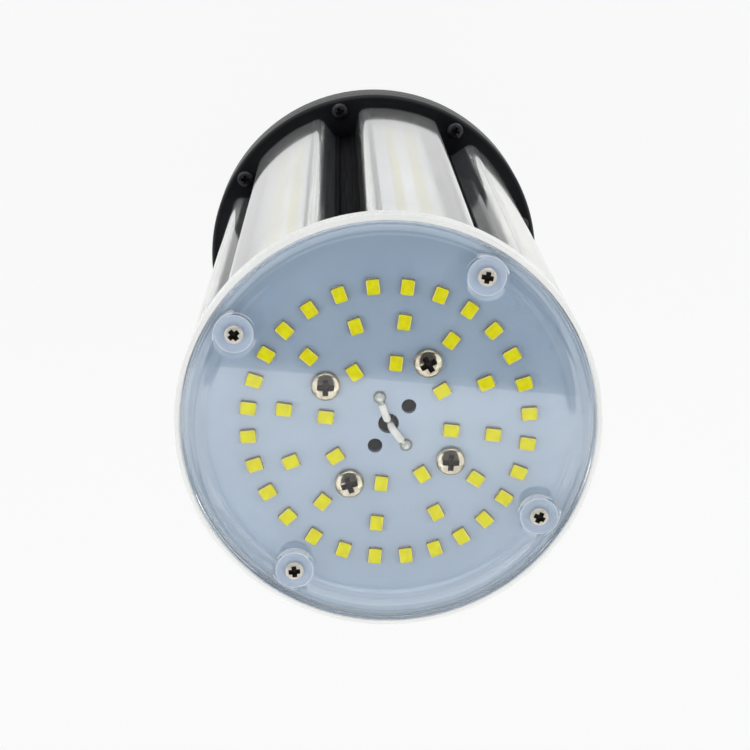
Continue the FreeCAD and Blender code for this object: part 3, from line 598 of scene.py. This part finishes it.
neck = {
    "line": [(10.0, 27.85), (16.9, 27.85), (16.9, 39.85), (22.5, 39.85), (22.5, 41.4), (22.05, 41.7),
             (22.05, 43.9), (22.5, 44.2), (22.5, 45.85), (18.5, 45.85), (18.5, 51.85), (10.0, 51.85)],
    "closed": True, "ease": 0.4, "easeSteps": 3, "sides": 96, "smooth": 50}
turnedPiece("capNeck", neck, neckWhite, "cap_neck", True)
print("screw cap made")


# driver housing and rear flange

housing = {"ease": 0.35, "easeSteps": 2, "sharp": 32, "flat": 0.5, "weld": 1e-6, "smooth": 40}
easedCopy("driverHousing", "driver_housing", housing, blackPaint)

flange = {
    "line": [(8.5, 105.85), (35.35, 105.85), (35.35, 102.85), (39.35, 102.85), (39.35, 105.85),
             (46.5, 105.85), (46.5, 110.85), (8.5, 110.85)],
    "closed": True, "ease": [0.3, 0, 0, 0.4, 0, 0.5, 1.9, 0.4], "easeSteps": 6, "sides": 160, "smooth": 50}
turnedPiece("rearFlange", flange, blackPaint, "rear_flange", True)
dress("core_heat_sink", blackAnodised)
print("housing, flange and core made")


# chips: a pale package round a well of phosphor, with a terminal at each end

chip = {
    "length": 3.5, "width": 2.8, "height": 0.8, "corner": 0.28, "lift": 0.06, "shoulder": 0.12, "bevel": 0.09,
    "border": 0.2, "well": 0.06, "wellCorner": 0.36, "wellSlope": 0.05, "dome": 0.05,
    "domeSteps": [(0.6, 0.3, 0.8), (0.2, 0.1, 1.0)],        # share of the well, corner, share of the dome
    "terminal": 0.14, "tabIn": 0.2, "tabHalf": 0.9, "tabHeight": 0.24, "smooth": 40}


def chipLoop(half, across, corner, height):
    points = easeCorners([(-half, -across), (half, -across), (half, across), (-half, across)], corner, 3)
    return [(x, y, height) for x, y in points]


def chipShape(fine):
    halfLong, halfWide = chip["length"] / 2 - chip["terminal"], chip["width"] / 2
    top, border, bevel, slope = chip["height"], chip["border"], chip["bevel"], chip["wellSlope"]
    wellLong, wellWide, wellFloor = halfLong + chip["terminal"] - border, halfWide - border, top - chip["well"]
    loops = [
        chipLoop(halfLong, halfWide, chip["corner"], chip["lift"]),
        chipLoop(halfLong, halfWide, chip["corner"], top - chip["shoulder"]),
        chipLoop(halfLong - bevel, halfWide - bevel, chip["corner"], top),
        chipLoop(wellLong, wellWide, chip["wellCorner"], top),
        chipLoop(wellLong - slope, wellWide - slope, chip["wellCorner"], wellFloor)]
    body = loft(loops, True, False)
    wall = 2 * len(loops[0])
    # the package walls take the painted side shade
    marks = [3 if fine else 0] * wall + [0] * (len(body[1]) - wall)
    well = [loops[-1]]
    for share, corner, rise in chip["domeSteps"]:
        well.append(chipLoop((halfLong - border) * share, (halfWide - border) * share, corner,
                             wellFloor + chip["dome"] * rise))
    shape = Shells()
    shape.add(body, marks)
    shape.add(loft(well, False, True), 1)
    if fine:
        across = chip["tabHalf"]
        for end in (-1, 1):
            low, high = sorted((end * (halfLong - chip["tabIn"]), end * chip["length"] / 2))
            tab = [[(low, -across, z), (high, -across, z), (high, across, z), (low, across, z)]
                   for z in (0.0, chip["tabHeight"])]
            shape.add(loft(tab), 2)
    return shape


def placeChips(name, spots, node, fine):
    single = chipShape(fine)
    many = Shells()
    for spot in spots:
        many.add((moved(single.verts, spot), single.faces), single.marks)
    finishes = [packageWhite, phosphorYellow, solderBright, packageSideShade]
    return makePiece(name, many, finishes, [node], chip["smooth"])


# angles of one ring of chips: even steps with a slow drift
def ringAngles(count, start, waves):
    angles = []
    for i in range(count):
        even = 360.0 / count * i
        drift = sum(size * math.cos(math.radians(turns * even + phase)) for turns, size, phase in waves)
        angles.append(start + even + drift)
    return angles


frontRings = {
    "level": 271.95,
    "rings": [       # radius and angles; the inner ring has a chip on either side of each board screw
        (28.6, ringAngles(28, -52.2, [(1, 1.06, -178.4), (2, 1.37, 145.4), (3, 0.77, -43.4)])),
        (21.4, ringAngles(12, -35.3, [(1, 3.18, 62.2), (3, 1.91, -113.9)])),
        (12.8, [90.0 * port + side * 25.5 for port in range(4) for side in (-1, 1)])]}
frontSpots = []
for reach, angles in frontRings["rings"]:
    for angle in angles:
        around = Matrix.Rotation(math.radians(angle), 4, "Z")
        frontSpots.append(around @ Matrix.Translation((reach, 0, frontRings["level"])))
placeChips("frontChips", frontSpots, "front_chips", True)

stripChips = {
    "seat": 36.0, "spread": 3.2, "first": 118.25, "pitch": 9.1, "rows": 16,
    # stands a chip on the strip: its length across the strip, its top outwards
    "upright": Matrix(((0, 0, 1, 0), (1, 0, 0, 0), (0, 1, 0, 0), (0, 0, 0, 1)))}


# from the X axis to the middle of one side
def sideTurn(k):
    return Matrix.Rotation(sector * (k + 0.5), 4, "Z")


for k in range(sideCount):
    spots = []
    for row in range(stripChips["rows"]):
        level = stripChips["first"] + stripChips["pitch"] * row
        for side in (-1, 1):
            spot = Matrix.Translation((stripChips["seat"], side * stripChips["spread"], level))
            spots.append(sideTurn(k) @ spot @ stripChips["upright"])
    placeChips(f"stripChips{k + 1}", spots, f"strip_chips_{k + 1}", False)
    dress(f"strip_board_{k + 1}", stripMask)
dress("front_board", frontMask)
print("boards and chips made")


# strip covers

strip = {
    "half": 11.2, "crown": 43.0, "rise": 1.6, "foot": 33.3, "wall": 1.0, "shoulder": 3.6, "leg": 39.25,
    "low": 110.85, "high": 268.85, "endStep": 0.3, "archSteps": 12, "cornerSteps": 7, "smooth": 45}


def archLine(inset):
    half, crown = strip["half"] - inset, strip["crown"] - inset
    shoulder = crown - strip["rise"]
    bend = (half * half + strip["rise"] ** 2) / (2 * strip["rise"])
    arch = []
    for i in range(strip["archSteps"] + 1):
        across = -half + 2 * half * i / strip["archSteps"]
        arch.append((across, crown - bend + math.sqrt(bend * bend - across * across)))
    arch[0], arch[-1] = (-half, shoulder), (half, shoulder)
    inner = [p for p in arch if abs(p[0]) < half - strip["shoulder"]]
    ease, steps = [0, strip["shoulder"] - inset, 0], strip["cornerSteps"]
    left = easeCorners([(-half, strip["foot"]), (-half, shoulder), inner[0]], ease, steps, False)
    right = easeCorners([inner[-1], (half, shoulder), (half, strip["foot"])], ease, steps, False)
    return left + inner[1:-1] + right


def coverShape(k):
    outer, inner = archLine(0.0), archLine(strip["wall"])
    section = outer + inner[::-1]
    low, high, step = strip["low"], strip["high"], strip["endStep"]
    loops = []
    for z in (low, low + step, high - step, high):
        loops.append([tuple(sideTurn(k) @ Vector((out, across, z))) for across, out in section])
    verts, faces = loft(loops, False, False)
    count, half = len(section), len(outer)
    for base, flip in ((0, False), ((len(loops) - 1) * count, True)):
        for i in range(half - 1):
            quad = [base + i, base + i + 1, base + count - 2 - i, base + count - 1 - i]
            faces.append(quad if flip else quad[::-1])
    # the legs take the painted shade finish
    marks = []
    for face in faces:
        local = [sideTurn(k).inverted() @ Vector(verts[v]) for v in face]
        marks.append(1 if max(p.x for p in local) < strip["leg"] else 0)
    return (verts, faces), marks


for k in range(sideCount):
    cover = Shells()
    cover.add(*coverShape(k))
    makePiece(f"stripCover{k + 1}", cover, [clearStrip, coverLegShade], [f"strip_cover_{k + 1}"],
              strip["smooth"])
print("strip covers made")


# front ring and front cover

ring = {
    "radius": 43.3, "bore": 42.15, "ledge": 37.4, "foot": 268.85, "core": 270.35, "top": 274.45,
    "chamferIn": 0.5, "chamferUp": 0.45, "ease": 0.3, "sides": 192, "smooth": 40,
    "grooves": [(270.5, 271.1, 0.4), (272.7, 273.2, 0.35)], "flank": 0.1,       # from, to, depth
    "lugCircle": 36.4, "lugRadius": 3.7, "lugBore": 0.9, "lugTop": 273.35, "lugEase": 0.2, "lugSides": 40,
    "tabIn": 39.95, "tabOut": 42.15, "tabHalf": 2.5, "tabEase": 0.5, "tabLevels": (265.85, 266.1, 268.9),
    "tabTaper": 0.2, "tabNarrow": 0.93}


def ringShape():
    radius = ring["radius"]
    line = [(ring["ledge"], ring["foot"]), (radius - ring["chamferIn"], ring["foot"]),
            (radius, ring["foot"] + ring["chamferUp"])]
    for low, high, depth in ring["grooves"]:
        line += [(radius, low), (radius - depth, low + ring["flank"]),
                 (radius - depth, high - ring["flank"]), (radius, high)]
    line += [(radius, ring["top"]), (ring["bore"], ring["top"]), (ring["bore"], ring["core"]),
             (ring["ledge"], ring["core"])]
    return spin(easeCorners(line, ring["ease"], 3), ring["sides"])


def lugShape():
    line = [(ring["lugBore"], ring["core"]), (ring["lugRadius"], ring["core"]),
            (ring["lugRadius"], ring["lugTop"]), (ring["lugBore"], ring["lugTop"])]
    return spin(easeCorners(line, ring["lugEase"], 2), ring["lugSides"])


# tab that reaches down into a channel of the core, with a narrower foot
def tabShape():
    near, far, across = ring["tabIn"], ring["tabOut"], ring["tabHalf"]
    outline = easeCorners([(near, -across), (far, -across), (far, across), (near, across)], ring["tabEase"], 3)
    loops = [[(r, a, z) for r, a in outline] for z in ring["tabLevels"]]
    middle, taper = (near + far) / 2, ring["tabTaper"]
    loops[0] = [(r + (taper if r < middle else -taper), a * ring["tabNarrow"], z) for r, a, z in loops[0]]
    return loft(loops)


ringParts = Shells()
ringParts.add(ringShape())
for bearing in quarters:
    verts, faces = lugShape()
    ringParts.add((moved(verts, Matrix.Translation(polar(ring["lugCircle"], bearing))), faces), 1)
for k in range(sideCount):
    verts, faces = tabShape()
    ringParts.add((moved(verts, Matrix.Rotation(sector * k, 4, "Z")), faces), 0)
makePiece("frontRing", ringParts, [ringWhite, lugPale], ["front_ring"], ring["smooth"], True)

frontCover = {
    "radius": 42.0, "plateau": 39.2, "step": 40.2, "foot": 272.0, "seat": 273.38, "rim": 274.85,
    "face": 275.85, "ceiling": 274.35, "slope": 36.8, "ledge": 39.8, "skirt": 41.3, "sides": 192, "smooth": 50,
    "ease": [0, 0.8, 0.5, 0.2, 0.1, 0.1, 0.4, 0.5, 0.5, 0]}
screwSeat = {
    "circle": 36.4, "hole": 1.1, "low": 271.95, "bed": 274.87, "bedIn": 0.5, "recess": 3.1, "lip": 4.4,
    "lipOut": 0.9, "lipUp": 0.1, "rise": 2.0, "ease": 0.5, "sides": 64}
boss = {
    "radius": 4.15, "bore": 3.76, "foot": 272.0, "seat": 273.38, "top": 274.3, "ease": 0.15, "sides": 48}


def frontCoverShape():
    c, s = frontCover, screwSeat
    line = easeCorners([
        (0, c["ceiling"]), (c["slope"], c["ceiling"]), (c["ledge"], c["seat"]), (c["skirt"], c["seat"]),
        (c["skirt"], c["foot"]), (c["radius"], c["foot"]), (c["radius"], c["rim"]), (c["step"], c["rim"]),
        (c["plateau"], c["face"]), (0, c["face"])], c["ease"], 6, False)
    shape = spin(line, c["sides"], False)
    # screw seat with a rounded floor and lip, and the hole through it
    reach, over = s["lip"] + s["lipOut"], c["face"] + s["rise"]
    bowl = easeCorners([
        (s["hole"] + s["bedIn"], s["bed"]), (s["recess"], s["bed"]), (s["lip"], c["face"]),
        (reach, c["face"] + s["lipUp"])], [0, s["ease"], s["ease"], 0], 6, False)
    sinkLine = [(0, s["low"]), (s["hole"], s["low"]), (s["hole"], s["bed"])]
    sinkLine += bowl + [(reach, over), (0, over)]
    verts, faces = spin(sinkLine, s["sides"], False)
    for bearing in quarters:
        spot = Matrix.Translation(polar(s["circle"], bearing))
        shape = cutOut(shape, (moved(verts, spot), faces))
    return shape


# each screw seat stands on a cloudy foot that caps the ring's lug; its outer wall is painted paler than its
# flats, painted light over the shade on that wall
def bossShape():
    line = easeCorners([
        (screwSeat["hole"], boss["seat"]), (boss["bore"], boss["seat"]), (boss["bore"], boss["foot"]),
        (boss["radius"], boss["foot"]), (boss["radius"], boss["top"]), (screwSeat["hole"], boss["top"])],
        boss["ease"], 2)
    marks = []
    for here, ahead in zip(line, line[1:] + line[:1]):
        outer = min(here[0], ahead[0]) > boss["radius"] - 2 * boss["ease"]
        marks += [2 if outer else 1] * boss["sides"]
    return spin(line, boss["sides"]), marks


cover = Shells()
cover.add(frontCoverShape())
(verts, faces), bossMarks = bossShape()
for bearing in quarters:
    spot = Matrix.Translation(polar(screwSeat["circle"], bearing))
    cover.add((moved(verts, spot), faces), bossMarks)
makePiece("frontCover", cover, [clearFront, bossPale, bossWallLit], ["front_cover"],
          frontCover["smooth"], True)
print("front ring and cover made")


# screws

boardScrew = {"head": 3.05, "height": 1.9, "shank": 1.25, "length": 9.0, "circle": 15.0, "seat": 271.95,
              "arm": 1.95, "blade": 0.62, "depth": 1.4, "turns": (62, 30, 50, 30)}
coverScrew = {"head": 1.9, "height": 0.9, "shank": 0.9, "length": 4.0, "circle": 36.4, "seat": 274.85,
              "arm": 1.45, "blade": 0.56, "depth": 0.78, "turns": (20, 70, 38, 5)}
flangeScrew = {"head": 2.3, "height": 1.6, "shank": 1.2, "length": 10.0, "circle": 43.0, "seat": 110.85,
               "arm": 1.35, "blade": 0.42, "depth": 1.0, "turns": (10, 55, 32, 78, 20, 64, 41, 5)}
coreScrew = {"head": 2.9, "height": 1.8, "shank": 1.25, "length": 13.0, "circle": 15.0, "seat": 105.85,
             "arm": 1.6, "blade": 0.5, "depth": 1.2, "turns": (15, 60, 40, 82)}
panHead = {
    # shares of the head's radius and height, from its foot to its crown
    "line": [(0.97, 0.0), (1.0, 0.12), (0.975, 0.42), (0.86, 0.69), (0.6, 0.88), (0.3, 0.975), (0.1, 0.998)],
    "ease": 0.16, "tip": 0.55, "sides": 48, "smooth": 38,
    # the recess: shares of its arm and blade at the mouth, on the way down and at the floor
    "mouth": (1.12, 1.1), "waist": (0.72, 0.8), "floor": (0.34, 0.55), "over": 0.4, "waistAt": 0.45,
    # what counts as inside the recess
    "reach": 1.1, "under": 0.06, "below": 0.05, "rim": 0.75, "level": 0.75, "crown": 0.7}


# pan head with a cross recess, standing on z = 0 with its shank below
def screwShape(screw):
    r, h, shank, tip = screw["head"], screw["height"], screw["shank"], -screw["length"]
    arm, blade, depth = screw["arm"], screw["blade"], screw["depth"]
    line = [(0, tip), (shank * panHead["tip"], tip), (shank, tip + shank), (shank, 0.0)]
    line += easeCorners([(r * out, h * up) for out, up in panHead["line"]], r * panHead["ease"], 3, False)
    line.append((0, h))
    head = spin(line, panHead["sides"], False)
    levels = (h + panHead["over"], h - depth * panHead["waistAt"], h - depth)
    loops = []
    for level, (long, wide) in zip(levels, (panHead["mouth"], panHead["waist"], panHead["floor"])):
        a, b = arm * long, blade * wide
        cross = [(a, -b), (a, b), (b, b), (b, a), (-b, a), (-b, b),
                 (-a, b), (-a, -b), (-b, -b), (-b, -a), (b, -a), (b, -b)]
        loops.append([(x, y, level) for x, y in cross][::-1])
    verts, faces = cutOut(head, loft(loops))
    # what lies inside the recess takes the painted recess shade
    marks = []
    for face in faces:
        middle = sum((Vector(verts[v]) for v in face), Vector()) / len(face)
        first, second, third = (Vector(verts[v]) for v in face[:3])
        tilt = abs((second - first).cross(third - first).normalized().z)
        deep = h - depth - panHead["below"] < middle.z < h - panHead["under"]
        inside = deep and middle.xy.length < arm * panHead["reach"]
        surface = middle.xy.length > r * panHead["rim"]
        flat = tilt > panHead["level"] and middle.z > h * panHead["crown"]
        marks.append(1 if inside and not surface and not flat else 0)
    return verts, faces, marks


def placeScrews(name, screw, node, finish, upright=True):
    verts, faces, marks = screwShape(screw)
    many = Shells()
    count = len(screw["turns"])
    for k, turnBy in enumerate(screw["turns"]):
        spot = Matrix.Translation(polar(screw["circle"], 2 * math.pi * k / count, screw["seat"]))
        spot = spot @ Matrix.Rotation(math.radians(turnBy), 4, "Z")
        if not upright:
            spot = spot @ Matrix.Rotation(math.pi, 4, "X")
        many.add((moved(verts, spot), faces), marks)
    return makePiece(name, many, [finish, recessShade], [node], panHead["smooth"])


placeScrews("boardScrews", boardScrew, "board_screws", screwSilver)
placeScrews("coverScrews", coverScrew, "cover_screws", screwCream)
placeScrews("flangeScrews", flangeScrew, "flange_screws", screwDull)
placeScrews("coreScrews", coreScrew, "core_screws", screwDull, False)
print("screws made")


# leads and solder on the front board

lead = {
    "radius": 0.75, "offset": 0.85, "foot": 79.45, "middle": 180.0, "level": 272.85, "bend": 1.6,
    "bendSteps": 8, "angles": (50.0, 250.0), "sides": 14, "smooth": 50, "bareSpans": 2,
    # distance from the axis, drop and radius towards the bare end
    "end": [(3.4, 0.02, 0.75), (4.3, 0.06, 0.75), (4.4, 0.07, 0.62), (4.45, 0.08, 0.42), (5.3, 0.3, 0.4)]}
solder = {
    "circle": 5.8, "level": 271.95, "sides": 32, "smooth": 55, "padSpans": 4,
    "line": [(0, 0), (1.35, 0), (1.35, 0.06), (1.12, 0.1), (0.95, 0.35), (0.8, 0.8), (0.6, 1.2), (0.34, 1.42),
             (0, 1.5)]}


# round wire along points in one upright plane, with a radius for each point
def wireShape(points, radii, sides, across):
    loops = []
    for i, (point, thick) in enumerate(zip(points, radii)):
        ahead = (points[min(i + 1, len(points) - 1)] - points[max(i - 1, 0)]).normalized()
        up = ahead.cross(across).normalized()
        loops.append([tuple(point + (across * math.cos(t) + up * math.sin(t)) * thick)
                      for t in (2 * math.pi * s / sides for s in range(sides))])
    return loft(loops)


for number, degrees in enumerate(lead["angles"], 1):
    angle = math.radians(degrees)
    out = polar(1, angle)
    across = polar(1, angle + math.pi / 2)
    bend, turnLevel = lead["bend"], lead["level"] - lead["bend"]
    run = [out * lead["offset"] + Vector((0, 0, z)) for z in (lead["foot"], lead["middle"], turnLevel)]
    centre = out * (lead["offset"] + bend) + Vector((0, 0, turnLevel))
    for s in range(1, lead["bendSteps"] + 1):
        t = math.pi / 2 * s / lead["bendSteps"]
        run.append(centre - out * bend * math.cos(t) + Vector((0, 0, bend * math.sin(t))))
    radii = [lead["radius"]] * len(run)
    for reach, drop, radius in lead["end"]:
        run.append(out * reach + Vector((0, 0, lead["level"] - drop)))
        radii.append(radius)
    shape = wireShape(run, radii, lead["sides"], across)
    bareTo = lead["sides"] * (len(run) - 1)
    bareFrom = bareTo - lead["sides"] * lead["bareSpans"]
    wire = Shells()
    wire.add(shape, [1 if bareFrom <= i < bareTo else 0 for i in range(len(shape[1]))])
    makePiece(f"outputLead{number}", wire, [leadWhite, solderBright], [f"output_lead_{number}"],
              lead["smooth"])

joints = Shells()
for degrees in lead["angles"]:
    spot = Matrix.Translation(polar(solder["circle"], math.radians(degrees), solder["level"]))
    verts, faces = spin(solder["line"], solder["sides"], False)
    padFaces = solder["sides"] * solder["padSpans"]
    joints.add((moved(verts, spot), faces), [1 if i < padFaces else 0 for i in range(len(faces))])
makePiece("solderJoints", joints, [solderBright, padGrey], ["solder_joints"], solder["smooth"])
print("leads and solder made")


# what the housing hides

hidden = {
    "driver_board": boardGreen, "transformer_core": ferriteGrey, "transformer_winding": windingTape,
    "smoothing_capacitor": canSleeve, "output_capacitor": canSleeve, "filter_choke": ferriteGrey,
    "film_capacitor": filmDip, "rectifier_bridge": deviceBlack, "power_transistor": deviceBlack,
    "centre_lead": leadWhite, "shell_lead": leadWhite}
for node, finish in hidden.items():
    dress(node, finish)
print("hidden parts dressed")


# floor, surroundings and lamps

floorLook = {
    "half": 6.0, "drop": 0.0005, "patch": 3.0, "edges": (0.3, 0.7), "dark": tone(246, 247, 247),
    "light": tone(248, 249, 249), "rough": 0.8, "show": 0.9, "near": tone(250, 251, 250),
    "far": tone(255, 255, 255), "fade": (0.7, 2.4)}


# the floor lights itself a little for whoever looks at it, so that it stays pale and even
def floorFinish(look):
    mat, tree, shader = newFinish("floorPale")
    space = objectSpace(tree)
    patches = noiseOf(tree, space, look["patch"])
    base = rampOf(tree, patches, [(look["edges"][0], look["dark"]), (look["edges"][1], look["light"])])
    tree.links.new(base, shader.inputs["Base Color"])
    shader.inputs["Roughness"].default_value = look["rough"]
    glow = addNode(tree, "ShaderNodeEmission", {"Strength": 1.0})
    reach = addNode(tree, "ShaderNodeVectorMath", operation="LENGTH")
    tree.links.new(space, reach.inputs[0])
    spread = rangeOf(tree, reach.outputs["Value"], 0.0, 1.0, *look["fade"])
    tree.links.new(rampOf(tree, spread, [(0.0, look["near"]), (1.0, look["far"])]), glow.inputs["Color"])
    rays = addNode(tree, "ShaderNodeLightPath")
    seen = rays.outputs["Is Camera Ray"]
    for kind in ("Is Glossy Ray", "Is Transmission Ray"):
        either = addNode(tree, "ShaderNodeMath", operation="MAXIMUM")
        tree.links.new(seen, either.inputs[0])
        tree.links.new(rays.outputs[kind], either.inputs[1])
        seen = either.outputs[0]
    share = addNode(tree, "ShaderNodeMath", {1: look["show"]}, operation="MULTIPLY")
    tree.links.new(seen, share.inputs[0])
    mixShaders(tree, share.outputs[0], shader.outputs["BSDF"], glow.outputs["Emission"])
    return mat


floorMesh = bpy.data.meshes.new("floor")
half = floorLook["half"]
floorCorners = [(-half, -half, 0), (half, -half, 0), (half, half, 0), (-half, half, 0)]
floorMesh.from_pydata(floorCorners, [], [(0, 1, 2, 3)])
floorMesh.materials.append(floorFinish(floorLook))
floor = bpy.data.objects.new("floor", floorMesh)
floor.location.z = cadLow.z - floorLook["drop"]
scene.collection.objects.link(floor)

# white round the horizon, quieter overhead
surround = {
    "horizon": (0.95, 0.95, 0.95, 1), "overhead": (0.1, 0.1, 0.104, 1), "fade": (0.33, 0.46)}
world = bpy.data.worlds.new("studio")
scene.world = world
world.use_nodes = True
tree = world.node_tree
coords = addNode(tree, "ShaderNodeTexCoord")
axes = addNode(tree, "ShaderNodeSeparateXYZ")
tree.links.new(coords.outputs["Generated"], axes.inputs["Vector"])
fadeFrom, fadeTo = surround["fade"]
sky = rampOf(tree, axes.outputs["Z"], [
    (0.0, surround["horizon"]), (fadeFrom, surround["horizon"]), (fadeTo, surround["overhead"])])
tree.links.new(sky, tree.nodes["Background"].inputs["Color"])
tree.nodes["Background"].inputs["Strength"].default_value = 1.0


# a lamp that is not mirrored lights the bulb without whiting out its clear covers
def softbox(name, place, aim, wide, deep, radiance, mirrored):
    lamp = bpy.data.lights.new(name, "AREA")
    lamp.shape = "RECTANGLE"
    lamp.size, lamp.size_y = wide, deep
    lamp.energy = radiance * math.pi * wide * deep
    box = bpy.data.objects.new(name, lamp)
    scene.collection.objects.link(box)
    facing = (Vector(aim) - Vector(place)).to_track_quat("-Z", "Y")
    box.visible_camera = False
    box.visible_glossy = mirrored
    box.matrix_world = Matrix.Translation(place) @ facing.to_matrix().to_4x4()
    return box


# the bounce card lies level above the face, on the side away from the camera, and ends in a straight edge
cardLook = {
    "bearing": 36.0, "tilt": -9.0, "from": -0.171, "level": 0.896, "wide": 0.9, "deep": 0.9, "light": 1.4,
    "far": 0.03, "fade": (0.73, 1.0)}
away = polar(1, math.radians(cardLook["bearing"]))
cardPlace = away * (cardLook["from"] - cardLook["deep"] / 2) + Vector((0, 0, cardLook["level"]))
card = softbox("bounceCard", cardPlace, cardPlace - Vector((0, 0, 1)), cardLook["wide"], cardLook["deep"],
               cardLook["light"], True)
cardTurn = math.radians(cardLook["bearing"] - 90.0 + cardLook["tilt"])
card.matrix_world = Matrix.Translation(cardPlace) @ Matrix.Rotation(cardTurn, 4, "Z")
# the card is brightest along that edge
card.data.use_nodes = True
tree = card.data.node_tree
across = addNode(tree, "ShaderNodeNewGeometry")
axes = addNode(tree, "ShaderNodeSeparateXYZ")
tree.links.new(across.outputs["Parametric"], axes.inputs["Vector"])
strength = rangeOf(tree, axes.outputs["Y"], cardLook["far"], 1.0, *cardLook["fade"])
tree.links.new(strength, tree.nodes["Emission"].inputs["Strength"])

lampAim = Vector((0, 0, 0.2))
lamps = [       # name, bearing, climb, reach, wide, deep, light, whether it is mirrored
    ("lowKey", 216.0, 38.0, 1.2, 1.8, 1.1, 1.25, False),
    ("sideA", 126.0, 32.0, 1.2, 1.5, 1.1, 1.5, False),
    ("sideB", 306.0, 32.0, 1.2, 1.5, 1.1, 1.5, False),
    ("nearFill", 33.0, 12.0, 1.25, 1.8, 0.5, 1.4, True)]
for name, bearing, climb, reach, wide, deep, radiance, mirrored in lamps:
    out = polar(math.cos(math.radians(climb)), math.radians(bearing), math.sin(math.radians(climb)))
    softbox(name, lampAim + out * reach, lampAim, wide, deep, radiance, mirrored)
print("studio lit")
